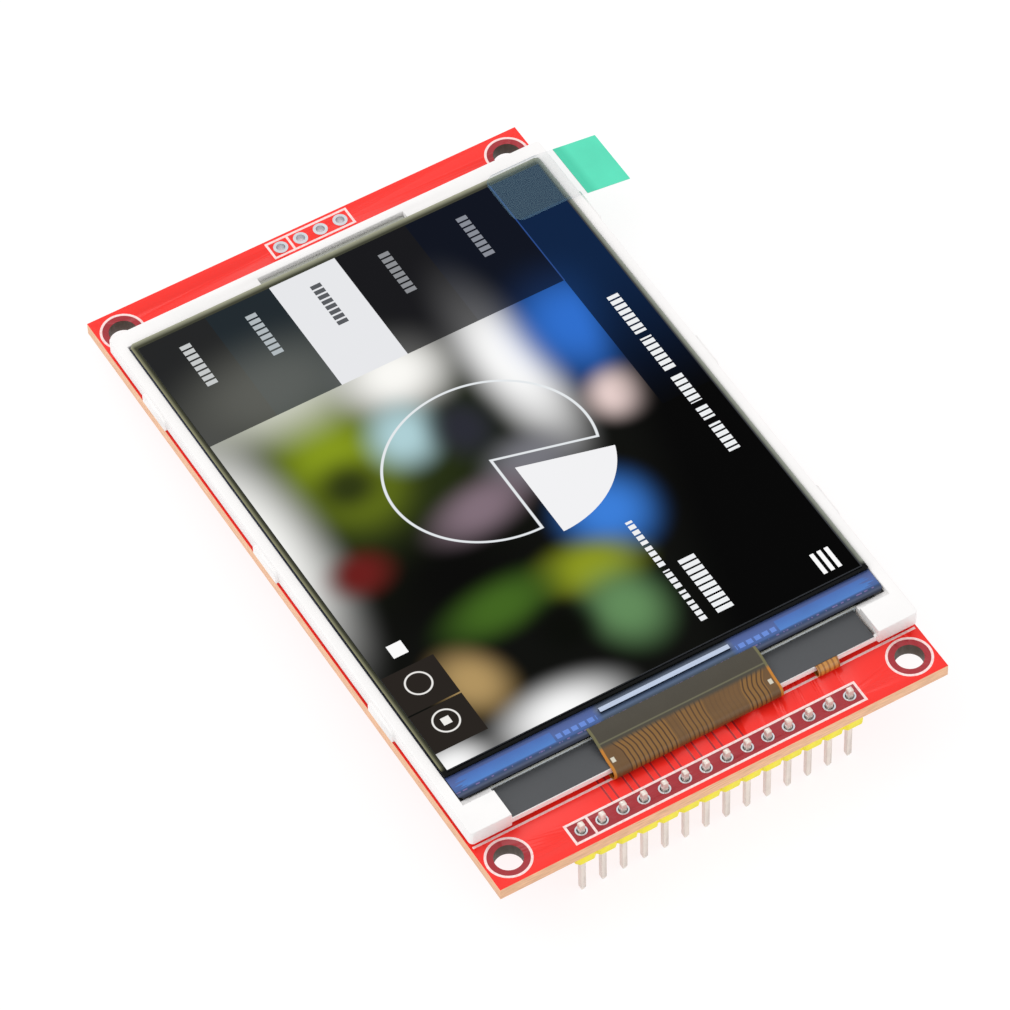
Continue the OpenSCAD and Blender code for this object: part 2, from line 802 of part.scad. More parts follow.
module array_glass() {
    color("#3E68C0", 0.9)
        translate([0, 0, array_z])
            cut_plate(glass_w, glass_y0, glass_y1, array_t, glass_corner, glass_corner);
}

module filter_glass() {
    color("#3A3C30", 0.9)
        translate([0, 0, filter_z])
            cut_plate(glass_w, filter_y0, glass_y1, filter_t, glass_corner / 4, glass_corner);
}

module upper_polarizer() {
    color("#24282C")
        translate([0, 0, polarizer_z])
            span_plate(polarizer_w, filter_y0 + polarizer_front_margin,
                       glass_y1 - polarizer_far_margin, polarizer_t);
}

module driver_chip() {
    color("#B8C4D8")
        translate([0, 0, filter_z])
            span_plate(chip_l, glass_y0 + flex_bond + chip_gap,
                       glass_y0 + flex_bond + chip_gap + chip_d, chip_t);
}

module display_flex() {
    color("#7A5C30")
        sweep_x(flex_w) {
            translate([glass_y0, filter_z])
                square([flex_bond, flex_t]);
            polygon([
                [glass_y0, filter_z], [glass_y0, filter_z + flex_t],
                [bend_y, flex_top_z], [bend_y, flex_top_z - flex_t]
            ]);
            bend_profile(flex_top_z, flex_t, flex_end_y);
        }
}

// A side view in X and Z drawn out along Y over the width of the pull tab
module along_tab() {
    translate([0, frame_y1 - tab_inset, 0])
        rotate([90, 0, 0])
            linear_extrude(tab_w)
                children();
}

// The strip lies flat on the polarizer and slopes down beyond it
module pull_tab_strip() {
    color("#8FD8C8", 0.4)
        difference() {
            along_tab()
                polygon([
                    [tab_x0, tab_z], [tab_fold_x, tab_z], [tab_mid_x, tab_mid_z],
                    [tab_mid_x, tab_mid_z + tab_t], [tab_fold_x, tab_z + tab_t],
                    [tab_x0, tab_z + tab_t]
                ]);
            for (side = [0, 1])
                translate([tab_x0, frame_y1 - tab_inset - side * tab_w, tab_z - past])
                    mirror([0, 1 - side, 0])
                        linear_extrude(tab_t + 2 * past)
                            difference() {
                                translate([-past, -past])
                                    square(tab_corner_r + past);
                                translate([tab_corner_r, tab_corner_r])
                                    circle(tab_corner_r, $fn = 32);
                            }
        }
}

// The grip goes on at the same slope
module pull_tab_grip() {
    run = tab_grip_l * cos(tab_slope);
    fall = tab_grip_l * sin(tab_slope);
    color("#5CDFC0")
        along_tab()
            polygon([
                [tab_mid_x, tab_mid_z], [tab_mid_x + run, tab_mid_z - fall],
                [tab_mid_x + run, tab_mid_z - fall + tab_t], [tab_mid_x, tab_mid_z + tab_t]
            ]);
}

module at_contacts() {
    for (i = [0 : contact_count - 1])
        translate([socket_x0, socket_y + (i - (contact_count - 1) / 2) * contact_pitch, 0])
            children();
}

// The plastic body holds the contacts at its back and guides the card on both sides
module socket_body() {
    body_w = socket_w - 2 * shell_t;
    body_h = socket_h - shell_t;
    channel_w = card_w + 2 * card_side_clear;
    slot_w = contact_w + 2 * contact_clear;
    color("#2B2C2E")
        difference() {
            translate([socket_x0 + shell_t, socket_y - body_w / 2, -body_h])
                cube([socket_l - shell_t - past, body_w, body_h]);
            // Channel for the card
            translate([socket_x0 + shell_t + socket_block_d, socket_y - channel_w / 2,
                       -body_h - past])
                cube([socket_l, channel_w, body_h - socket_floor_t + past]);
            // Grooves and windows for the contacts
            at_contacts() {
                translate([-past, -slot_w / 2, -contact_t - contact_clear])
                    cube([socket_block_d + shell_t + 2 * past, slot_w, contact_t + contact_clear + past]);
                translate([shell_t + socket_block_d, -slot_w / 2, -socket_floor_t - past])
                    cube([socket_block_d + shell_t + past, slot_w, socket_floor_t + 2 * past]);
            }
        }
}

// The shell is one folded sheet: a cover, two side walls and a back wall with a gap
// under it for the contacts' feet
module socket_shell() {
    window_l = 6;
    window_wd = 2.4;
    foot_gap = contact_t + 2 * contact_clear;
    color("#C8CBD0")
        difference() {
            translate([socket_x0, socket_y - socket_w / 2, -socket_h])
                cube([socket_l, socket_w, socket_h]);
            translate([socket_x0 + shell_t, socket_y - socket_w / 2 + shell_t,
                       -socket_h + shell_t])
                cube([socket_l, socket_w - 2 * shell_t, socket_h]);
            // Gap under the back wall
            translate([socket_x0 - past, socket_y - socket_w / 2 + shell_t, -foot_gap])
                cube([shell_t + 2 * past, socket_w - 2 * shell_t, foot_gap + past]);
            // Two windows through the cover
            for (side = [-1, 1])
                translate([socket_x0 + socket_l / 2 - window_l / 2,
                           socket_y + side * socket_w / 4 - window_wd / 2, -socket_h - past])
                    cube([window_l, window_wd, shell_t + 2 * past]);
            // Notch in the mouth for a fingertip
            translate([socket_x1, socket_y, -socket_h - past])
                cylinder(h = shell_t + 2 * past, r = socket_w / 5, $fn = 64);
        }
}

// Each contact has a foot on the board, a straight run under the plastic and a spring
module socket_contacts() {
    spring_x0 = shell_t + socket_block_d + contact_clear;
    spring_x1 = spring_x0 + socket_block_d * 0.6;
    spring_x2 = spring_x0 + socket_block_d * 0.85;
    color("#D9C27A")
        at_contacts()
            translate([0, contact_w / 2, 0])
                rotate([90, 0, 0])
                    linear_extrude(contact_w)
                        polygon([
                            [-contact_foot_l, 0], [-contact_foot_l, -contact_t],
                            [spring_x0, -contact_t], [spring_x1, -contact_rise - contact_t],
                            [spring_x2, -contact_rise],
                            [spring_x2, -contact_rise + contact_t], [spring_x1, -contact_rise],
                            [spring_x0 + contact_t, 0]
                        ]);
}

// The moulded body of a three-lead package, hanging from the board
module package_body() {
    stand_off = lead_t;
    draft = package_h / 10;
    rotate([90, 0, 90])
        translate([0, 0, -package_l / 2])
            linear_extrude(package_l)
                polygon([
                    [-package_w / 2 + draft, -stand_off / 2], [package_w / 2 - draft, -stand_off / 2],
                    [package_w / 2, -package_h / 2], [package_w / 2 - draft, -package_h],
                    [-package_w / 2 + draft, -package_h], [-package_w / 2, -package_h / 2]
                ]);
}

module voltage_regulator() {
    color("#232325")
        translate(regulator_at)
            package_body();
}

module lamp_transistor() {
    color("#232325")
        translate(transistor_at)
            package_body();
}

// One gull-wing lead on the +Y side of a package
module lead() {
    half_h = package_h / 2;
    y0 = package_w / 2;
    step_y = y0 + lead_out / 3;
    translate([-lead_w / 2, 0, 0])
        rotate([90, 0, 90])
            linear_extrude(lead_w)
                polygon([
                    [y0, -half_h - lead_t / 2], [step_y + lead_t, -half_h - lead_t / 2],
                    [step_y + lead_t, -lead_t], [y0 + lead_out, -lead_t], [y0 + lead_out, 0],
                    [step_y, 0], [step_y, -half_h + lead_t / 2], [y0, -half_h + lead_t / 2]
                ]);
}

module package_leads() {
    color("#C9CDD2")
        for (at = [regulator_at, transistor_at])
            translate(at) {
                lead();
                for (side = [-1, 1])
                    translate([side * lead_pitch / 2, 0, 0])
                        mirror([0, 1, 0])
                            lead();
            }
}

module passive_bodies(places, h) {
    for (at = places)
        translate([at[0] - passive_l / 2 + passive_end_l, at[1] - passive_w / 2, -h])
            cube([passive_l - 2 * passive_end_l, passive_w, h]);
}

module passive_ends(places, h) {
    for (at = places, side = [0, 1])
        translate([at[0] + side * (passive_l - passive_end_l) - passive_l / 2,
                   at[1] - passive_w / 2, -h])
            cube([passive_end_l, passive_w, h]);
}

module resistor_bodies() {
    color("#1E1F22")
        passive_bodies(resistor_places, resistor_h);
}

module resistor_ends() {
    color("#C9CDD2")
        passive_ends(resistor_places, resistor_h);
}

module capacitor_bodies() {
    color("#B08A62")
        passive_bodies(capacitor_places, capacitor_h);
}

module capacitor_ends() {
    color("#C9CDD2")
        passive_ends(capacitor_places, capacitor_h);
}

module jumper_pads() {
    color("#C9CDD2")
        for (side = [-1, 1])
            translate([jumper_at[0] + side * (jumper_pad_l + jumper_gap) / 2 - jumper_pad_l / 2,
                       jumper_at[1] - jumper_pad_l / 2, -copper_t])
                cube([jumper_pad_l, jumper_pad_l, copper_t]);
}

module spare_chip_pads() {
    pad_w = spare_pad_pitch / 2;
    color("#C9CDD2")
        for (i = [0 : spare_pad_count - 1], side = [-1, 1])
            translate([spare_chip_at[0] + side * spare_row_gap / 2 - spare_pad_l / 2,
                       spare_chip_at[1] + (i - (spare_pad_count - 1) / 2) * spare_pad_pitch
                       - pad_w / 2, -copper_t])
                cube([spare_pad_l, pad_w, copper_t]);
}

circuit_board();
front_print();
back_print();
front_tracks();
header_barrels();
card_header_barrels();
header_insulator();
header_pins();
solder_cones();
flex_pads();
backlight_pads();
foam_tape();
backlight_frame();
reflector_film();
light_guide();
diffuser_film();
lower_prism_film();
upper_prism_film();
lamps();
lamp_strip();
lamp_bay_tape();
rim_tape();
lower_polarizer();
array_glass();
filter_glass();
upper_polarizer();
driver_chip();
display_flex();
pull_tab_strip();
pull_tab_grip();
socket_body();
socket_shell();
socket_contacts();
voltage_regulator();
lamp_transistor();
package_leads();
resistor_bodies();
resistor_ends();
capacitor_bodies();
capacitor_ends();
jumper_pads();
spare_chip_pads();
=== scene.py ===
"""Finishes a colour display module on its CAD frame.

Each operator finishes one piece or one group of like pieces: it shapes what the plain
solids leave sharp, and gives every surface the material of the real part. Lengths in
the named values are millimetres; X runs across the board, Y away from the pin header
and Z up through the screen.
"""

import json
import math

import bpy
from mathutils import Euler, Matrix, Vector


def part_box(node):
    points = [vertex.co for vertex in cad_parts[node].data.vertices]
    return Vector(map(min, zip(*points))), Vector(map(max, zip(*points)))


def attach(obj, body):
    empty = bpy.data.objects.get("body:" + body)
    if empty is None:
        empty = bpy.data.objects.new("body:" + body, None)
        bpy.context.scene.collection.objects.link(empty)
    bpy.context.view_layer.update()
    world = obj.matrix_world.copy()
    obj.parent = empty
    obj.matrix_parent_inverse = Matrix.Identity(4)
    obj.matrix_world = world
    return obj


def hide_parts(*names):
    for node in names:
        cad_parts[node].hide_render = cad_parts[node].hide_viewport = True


bl_info = {
    "name": "Colour display module",
    "version": (1, 0, 0),
    "blender": (4, 5, 0),
    "location": "3D View > Sidebar > Display",
    "description": "Finishes the pieces of a backlit display module and lights it on a pale floor",
    "category": "Object",
}

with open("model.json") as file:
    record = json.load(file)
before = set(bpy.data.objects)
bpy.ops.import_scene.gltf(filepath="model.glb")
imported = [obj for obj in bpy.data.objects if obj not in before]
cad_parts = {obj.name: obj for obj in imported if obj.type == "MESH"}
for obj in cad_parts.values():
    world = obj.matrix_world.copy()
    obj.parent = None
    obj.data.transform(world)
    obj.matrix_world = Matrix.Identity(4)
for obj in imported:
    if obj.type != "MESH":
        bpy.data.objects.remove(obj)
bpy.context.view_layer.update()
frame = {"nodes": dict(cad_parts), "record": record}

MM = 0.001
# A scale that flattens one axis of a pattern
FLAT = 1e6
# Corners closer than this are one corner
MERGE_DISTANCE = 1e-6
HEADER_PINS = 14
# Distance between two bands of a wave pattern whose scale is 1
WAVE_PERIOD = 0.314


def linear(hex_colour):
    """The linear red, green and blue of an sRGB hex colour."""
    channels = [int(hex_colour[i:i + 2], 16) / 255 for i in (1, 3, 5)]
    return tuple(c / 12.92 if c <= 0.04045 else ((c + 0.055) / 1.055) ** 2.4 for c in channels)


def rgba(colour):
    return (*colour, 1.0)


def grey(level):
    return (level, level, level)


def span(node_name):
    """The lowest and highest corner of a CAD node in millimetres."""
    low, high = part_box(node_name)
    return low / MM, high / MM


def colour_property(name, hex_colour, description):
    return bpy.props.FloatVectorProperty(
        name=name, description=description, subtype="COLOR", size=3, min=0.0, max=1.0,
        default=linear(hex_colour))


def length_property(name, millimetres, description):
    return bpy.props.FloatProperty(
        name=name, description=description, unit="LENGTH", subtype="DISTANCE", min=0.0,
        precision=5, default=millimetres * MM)


class ModuleSizes(bpy.types.PropertyGroup):
    """Sizes of the finishing work"""

    board_edge: length_property("Board edge", 0.05, "Rounding left by the router on the board's edges")
    frame_edge: length_property("Frame edge", 0.14, "Rounding of the white frame's moulded edges")
    header_edge: length_property("Header edge", 0.1, "Rounding of the yellow plastic's edges")
    pin_edge: length_property("Pin edge", 0.06, "Rounding of the drawn wire's corners")
    metal_edge: length_property("Sheet metal edge", 0.05, "Rounding of stamped and folded metal edges")
    package_edge: length_property("Package edge", 0.05, "Rounding of moulded and ceramic packages")
    cable_thickness: length_property("Cable thickness", 0.12, "Thickness of the flexible cable")
    glass_edge: length_property("Glass edge", 0.03, "Ground edge of the glass, the chip and the contacts")
    film_edge: length_property("Film edge", 0.02, "Edge of the polarizer, the leads and the resistors")
    weave_step: length_property("Weave step", 0.5, "Distance between two threads of the board's cloth")


class ModuleColours(bpy.types.PropertyGroup):
    """Colours of the module's materials"""

    mask: colour_property("Solder mask", "#FF2A20", "Red solder mask over copper")
    mask_bare: colour_property("Bare solder mask", "#A82630", "Solder mask with no copper under it")
    laminate: colour_property("Laminate", "#F2BE96", "Cut edge of the glass-fibre laminate")
    ink: colour_property("Ink", "#FFE9E6", "Printed lines on the board")
    header: colour_property("Header", "#FFF02A", "Yellow plastic of the pin header")
    pin: colour_property("Pin", "#EADFD6", "Tinned pins")
    solder: colour_property("Solder", "#E4E6DC", "Solder cones")
    frame: colour_property("Frame", "#FCFAF9", "White frame")
    bay_tape: colour_property("Bay tape", "#46484B", "Tape over the lamp bay")
    cable: colour_property("Cable", "#86602E", "Flexible cable over its copper")
    tail: colour_property("Lamp tail", "#C88A3C", "Tail of the lamp strip")
    tab: colour_property("Pull tab", "#52E0BA", "Grip of the pull tab")


class ModuleStage(bpy.types.PropertyGroup):
    """Floor, lamps and camera"""

    floor_colour: colour_property("Floor", "#7C7C7C", "Floor under the module")
    sky_strength: bpy.props.FloatProperty(
        name="Sky", description="Strength of the even light from all round", default=0.8, min=0.0)
    key_power: bpy.props.FloatProperty(
        name="Key lamp", description="Power of the large lamp over the module", unit="POWER",
        default=2.8, min=0.0)
    fill_power: bpy.props.FloatProperty(
        name="Fill lamp", description="Power of the lamp in front of the module", unit="POWER",
        default=0.8, min=0.0)
    lens: bpy.props.FloatProperty(
        name="Lens", description="Focal length on a 36 mm sensor", unit="CAMERA", default=227.37,
        min=10.0, max=1000.0)


# Work on meshes


def clear_selection():
    if bpy.context.mode != "OBJECT":
        bpy.ops.object.mode_set(mode="OBJECT")
    bpy.ops.object.select_all(action="DESELECT")


def take_up(piece):
    """Makes one piece the only selected and active object."""
    clear_selection()
    piece.select_set(True)
    bpy.context.view_layer.objects.active = piece


def apply_modifier(piece, kind, **settings):
    """Adds a modifier to the active piece, sets it and applies it."""
    modifier = piece.modifiers.new(kind.title(), kind)
    for name, value in settings.items():
        setattr(modifier, name, value)
    bpy.ops.object.modifier_apply(modifier=modifier.name)


def dress(piece, material):
    piece.data.materials.clear()
    piece.data.materials.append(material)


def hand_over(piece, *node_names):
    """Puts a finished piece in place of its CAD nodes."""
    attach(piece, "root")
    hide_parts(*node_names)
    piece["finish"] = "done"
    clear_selection()


def dress_nodes(material, *node_names):
    """Gives a material to CAD nodes whose plain shape is already the real one."""
    for node_name in node_names:
        dress(frame["nodes"][node_name], material)


def finished_copy(node_name, name, material, edge, segments=2, angle=35.0):
    """A copy of a CAD node with its corners merged and its edges rounded."""
    piece = bpy.data.objects.new(name, frame["nodes"][node_name].data.copy())
    piece.data.name = name
    bpy.context.scene.collection.objects.link(piece)
    take_up(piece)
    bpy.ops.object.mode_set(mode="EDIT")
    bpy.ops.mesh.select_all(action="SELECT")
    bpy.ops.mesh.remove_doubles(threshold=MERGE_DISTANCE)
    bpy.ops.mesh.dissolve_limited(angle_limit=math.radians(1.0))
    bpy.ops.object.mode_set(mode="OBJECT")
    if edge > 0:
        apply_modifier(piece, "BEVEL", width=edge, segments=segments, limit_method="ANGLE",
                       angle_limit=math.radians(angle), use_clamp_overlap=True,
                       harden_normals=True)
    bpy.ops.object.shade_smooth_by_angle(angle=math.radians(angle))
    dress(piece, material)
    hand_over(piece, node_name)
    return piece


# Work on materials


def node(tree, kind, inputs=None, **settings):
    """Adds one shader node with its settings, and fills or links its inputs."""
    made = tree.nodes.new("ShaderNode" + kind)
    for name, value in settings.items():
        setattr(made, name, value)
    for key, value in (inputs or {}).items():
        if isinstance(value, bpy.types.NodeSocket):
            tree.links.new(value, made.inputs[key])
        else:
            made.inputs[key].default_value = value
    return made


def new_material(name, **sockets):
    """A material with one Principled shader, whose sockets take the given values."""
    material = bpy.data.materials.new(name)
    material.use_nodes = True
    tree = material.node_tree
    shader = tree.nodes["Principled BSDF"]
    for key, value in sockets.items():
        shader.inputs[key.replace("_", " ")].default_value = value
    return material, tree, shader


def millimetres(tree, shift=(0.0, 0.0, 0.0), scale=(1.0, 1.0, 1.0)):
    """The place on the piece in millimetres, shifted after it is scaled."""
    place = node(tree, "TexCoord").outputs["Object"]
    return node(tree, "Mapping", {
        "Vector": place, "Location": shift, "Scale": [s / MM for s in scale],
    }).outputs[0]


def band(tree, value, low, high, soft=0.02):
    """1 where a value lies between two limits, with soft edges."""
    rise = node(tree, "MapRange", {0: value, 1: low - soft, 2: low + soft}).outputs[0]
    fall = node(tree, "MapRange", {0: value, 1: high - soft, 2: high + soft, 3: 1.0, 4: 0.0}).outputs[0]
    return node(tree, "Math", {0: rise, 1: fall}, operation="MULTIPLY").outputs[0]


def box_mask(tree, place, low, high):
    """1 inside a rectangle seen from above."""
    centre = [(low[i] + high[i]) / 2 for i in (0, 1)]
    half = [(high[i] - low[i]) / 2 for i in (0, 1)]
    inside = node(tree, "Mapping", {
        "Vector": place, "Location": (*centre, 0.0), "Scale": (*half, FLAT),
    }, vector_type="TEXTURE").outputs[0]
    size = node(tree, "VectorMath", {0: inside}, operation="ABSOLUTE").outputs[0]
    axes = node(tree, "SeparateXYZ", {0: size}).outputs
    far = node(tree, "Math", {0: axes[0], 1: axes[1]}, operation="MAXIMUM").outputs[0]
    return node(tree, "Math", {0: far, 1: 1.0}, operation="LESS_THAN").outputs[0]


def round_place(tree, place, centre, radii=(1.0, 1.0), turn=0.0):
    """The place seen from a round shape's middle, in radii, and its distance from there."""
    inside = node(tree, "Mapping", {
        "Vector": place, "Location": (*centre, 0.0), "Rotation": (0.0, 0.0, math.radians(turn)),
        "Scale": (*radii, FLAT),
    }, vector_type="TEXTURE").outputs[0]
    return inside, node(tree, "VectorMath", {0: inside}, operation="LENGTH").outputs["Value"]


def spot_mask(tree, place, centre, radii, turn=0.0):
    """A soft round spot that is 1 in its middle and 0 at its radii."""
    _, far = round_place(tree, place, centre, radii, turn)
    return node(tree, "MapRange", {0: far, 1: 0.0, 2: 1.0, 3: 1.0, 4: 0.0},
                interpolation_type="SMOOTHERSTEP").outputs[0]


def ramp(tree, value, start, end, stops, interpolation="LINEAR"):
    """A run of colours along a value; each stop has its share of the way and its colour."""
    share = node(tree, "MapRange", {0: value, 1: start, 2: end}).outputs[0]
    made = node(tree, "ValToRGB", {0: share})
    made.color_ramp.interpolation = interpolation
    elements = made.color_ramp.elements
    while len(elements) < len(stops):
        elements.new(0.5)
    for element, (position, colour) in zip(elements, stops):
        element.position = position
        element.color = rgba(colour if isinstance(colour, tuple) else linear(colour))
    return made.outputs[0]


def facing_up(tree):
    """1 on faces that look up."""
    up = node(tree, "SeparateXYZ", {0: node(tree, "NewGeometry").outputs["Normal"]}).outputs[2]
    return node(tree, "Math", {0: up, 1: 0.5}, operation="GREATER_THAN").outputs[0]


def seen_directly(tree):
    """1 for what the camera, gloss and glass see, and 0 for light that falls on things."""
    ray = node(tree, "LightPath").outputs
    seen = node(tree, "Math", {0: ray["Is Camera Ray"], 1: ray["Is Glossy Ray"]},
                operation="MAXIMUM").outputs[0]
    return node(tree, "Math", {0: seen, 1: ray["Is Transmission Ray"]}, operation="MAXIMUM").outputs[0]


def mottle(tree, place, colour, grain, depth):
    """A colour that varies a little, in clouds of the given size."""
    clouds = node(tree, "TexNoise", {"Vector": place, "Scale": 1 / grain, "Detail": 4.0}).outputs[0]
    shade = node(tree, "MapRange", {0: clouds, 1: 0.3, 2: 0.7, 3: 1 - depth, 4: 1 + depth}).outputs[0]
    return node(tree, "Mix", {0: 1.0, 6: colour, 7: shade}, data_type="RGBA",
                blend_type="MULTIPLY").outputs[2]


def roughen(tree, shader, place, grain, height, low, high):
    """Fine grain in a surface: a bump in millimetres and a change of gloss."""
    grit = node(tree, "TexNoise", {"Vector": place, "Scale": 1 / grain, "Detail": 3.0}).outputs[0]
    node_bump = node(tree, "Bump", {"Strength": 1.0, "Distance": height * MM, "Height": grit})
    tree.links.new(node_bump.outputs[0], shader.inputs["Normal"])
    gloss = node(tree, "MapRange", {0: grit, 1: 0.3, 2: 0.7, 3: low, 4: high}).outputs[0]
    tree.links.new(gloss, shader.inputs["Roughness"])


def solder_mask_material(colours, sizes):
    """Cured red epoxy solder mask: wet gloss, with copper under it showing as a
    brighter red and bare laminate as a dull one; the cut edge is straw-coloured fibre."""
    material, tree, shader = new_material(
        "red_solder_mask", Specular_IOR_Level=0.35, Coat_Weight=0.15, Coat_Roughness=0.12)
    place = millimetres(tree)
    axes = node(tree, "SeparateXYZ", {0: place}).outputs
    header_low, header_high = span("header_insulator")
    pitch = (header_high.x - header_low.x) / HEADER_PINS
    display_front = span("backlight_frame")[0].y
    # Millimetres from a hole's edge to the copper
    hole_margin = 0.7
    # Clearances cut in the copper on both sides of each track
    from_pin = node(tree, "Math", {0: axes[0], 1: pitch / 2}, operation="ADD").outputs[0]
    from_pin = node(tree, "Math", {0: from_pin, 1: pitch / 2}, operation="PINGPONG").outputs[0]
    gap = band(tree, from_pin, 0.33, 0.52, 0.03)
    tracks_low, tracks_high = span("front_tracks")
    gap_area = box_mask(tree, place, (tracks_low.x - 0.5, tracks_low.y - 0.4),
                        (tracks_high.x + 0.5, display_front + 4))
    gap = node(tree, "Math", {0: gap, 1: gap_area}, operation="MULTIPLY").outputs[0]
    header_area = box_mask(tree, place, (header_low.x, header_low.y), (header_high.x, header_high.y))
    bare = node(tree, "Math", {0: gap, 1: header_area}, operation="MAXIMUM").outputs[0]
    # No copper near the corner holes
    holes = next(mount for mount in frame["record"]["mounts"] if mount["name"] == "mounting_holes")["dims"]
    corner = node(tree, "VectorMath", {0: place}, operation="ABSOLUTE").outputs[0]
    _, from_hole = round_place(
        tree, corner, (holes["spacing_x_mm"] / 2, holes["spacing_y_mm"] / 2))
    ring = node(tree, "Math", {0: from_hole, 1: holes["hole_r_mm"] + hole_margin},
                operation="LESS_THAN").outputs[0]
    bare = node(tree, "Math", {0: bare, 1: ring}, operation="MAXIMUM").outputs[0]
    mask = mottle(tree, place, rgba(colours.mask), 9.0, 0.03)
    mask = node(tree, "Mix", {0: bare, 6: mask, 7: rgba(colours.mask_bare)},
                data_type="RGBA").outputs[2]
    # Vias under the mask
    dots = node(tree, "TexVoronoi", {"Vector": place, "Scale": 0.16, "Randomness": 0.7}).outputs[0]
    via = node(tree, "Math", {0: dots, 1: 0.045}, operation="LESS_THAN").outputs[0]
    mask = node(tree, "Mix", {0: via, 6: mask, 7: rgba(colours.mask_bare)}, data_type="RGBA").outputs[2]
    # The cut edge shows layers of glass cloth
    layers = node(tree, "Mapping", {"Vector": place, "Scale": (0.7, 0.7, 6.0)}).outputs[0]
    edge = mottle(tree, layers, rgba(colours.laminate), 1.2, 0.16)
    # Painted shade: the walls of the corner holes are painted dark brown, as the shade inside them
    edge = node(tree, "Mix", {0: ring, 6: edge, 7: rgba(linear("#54463C"))}, data_type="RGBA").outputs[2]
    normal = node(tree, "NewGeometry").outputs["Normal"]
    up = node(tree, "SeparateXYZ", {0: normal}).outputs[2]
    up = node(tree, "Math", {0: up}, operation="ABSOLUTE").outputs[0]
    face = node(tree, "Math", {0: up, 1: 0.3}, operation="GREATER_THAN").outputs[0]
    colour = node(tree, "Mix", {0: face, 6: edge, 7: mask}, data_type="RGBA").outputs[2]
    tree.links.new(colour, shader.inputs["Base Color"])
    # The cloth's weave lifts the mask very slightly
    scale = WAVE_PERIOD / (sizes.weave_step / MM)
    weave = node(tree, "TexWave", {"Vector": place, "Scale": scale}, bands_direction="X").outputs[1]
    cross = node(tree, "TexWave", {"Vector": place, "Scale": scale}, bands_direction="Y").outputs[1]
    cloth = node(tree, "Math", {0: weave, 1: cross}, operation="ADD").outputs[0]
    bump = node(tree, "Bump", {"Strength": 0.5, "Distance": 0.003 * MM, "Height": cloth})
    tree.links.new(bump.outputs[0], shader.inputs["Normal"])
    gloss = node(tree, "MapRange", {0: face, 3: 0.7, 4: 0.3}).outputs[0]
    tree.links.new(gloss, shader.inputs["Roughness"])
    return material


def ink_material(colours):
    """Screen-printed epoxy ink: matt, and thin enough for a little red to show through."""
    material, tree, shader = new_material("white_epoxy_ink", Roughness=0.55)
    place = millimetres(tree)
    wear = node(tree, "TexNoise", {"Vector": place, "Scale": 3.0, "Detail": 3.0}).outputs[0]
    thin = node(tree, "MapRange", {0: wear, 1: 0.45, 2: 0.8, 3: 0.0, 4: 0.35}).outputs[0]
    colour = node(tree, "Mix", {0: thin, 6: rgba(colours.ink), 7: rgba(colours.mask)},
                  data_type="RGBA").outputs[2]
    tree.links.new(colour, shader.inputs["Base Color"])
    return material


def metal_material(name, colour, low, high, grain=0.4, height=0.004, metallic=1.0):
    """Plated or stamped metal: bright, with a faint unevenness that breaks up reflections."""
    material, tree, shader = new_material(name, Metallic=metallic)
    place = millimetres(tree)
    colour = mottle(tree, place, rgba(colour), 1.5, 0.06)
    tree.links.new(colour, shader.inputs["Base Color"])
    roughen(tree, shader, place, grain, height, low, high)
    return material


def plastic_material(name, colour, low, high, grain, height, depth=0.03, **sockets):
    """Moulded or cast plastic: even colour, a fine skin and a soft shine."""
    material, tree, shader = new_material(name, **sockets)
    place = millimetres(tree)
    tree.links.new(mottle(tree, place, rgba(colour), 4.0, depth), shader.inputs["Base Color"])
    roughen(tree, shader, place, grain, height, low, high)
    return material


def solder_material(colours):
    """Tin-lead solder that set over flux: bright metal with a dull, wrinkled skin in places, painted paler
    towards its crest as a highlight.
    """
    material, tree, shader = new_material("tin_solder", Metallic=1.0)
    place = millimetres(tree)
    axes = node(tree, "SeparateXYZ", {0: place}).outputs
    # Painted highlight: the cone is painted greyer at its foot and paler towards its crest
    height = node(tree, "MapRange", {0: axes[2], 1: 1.7, 2: 2.9}).outputs[0]
    colour = node(tree, "Mix", {
        0: height, 6: rgba(linear("#A4AEA8")), 7: rgba(colours.solder)}, data_type="RGBA").outputs[2]
    tree.links.new(mottle(tree, place, colour, 0.35, 0.25), shader.inputs["Base Color"])
    roughen(tree, shader, place, 0.3, 0.02, 0.18, 0.38)
    return material


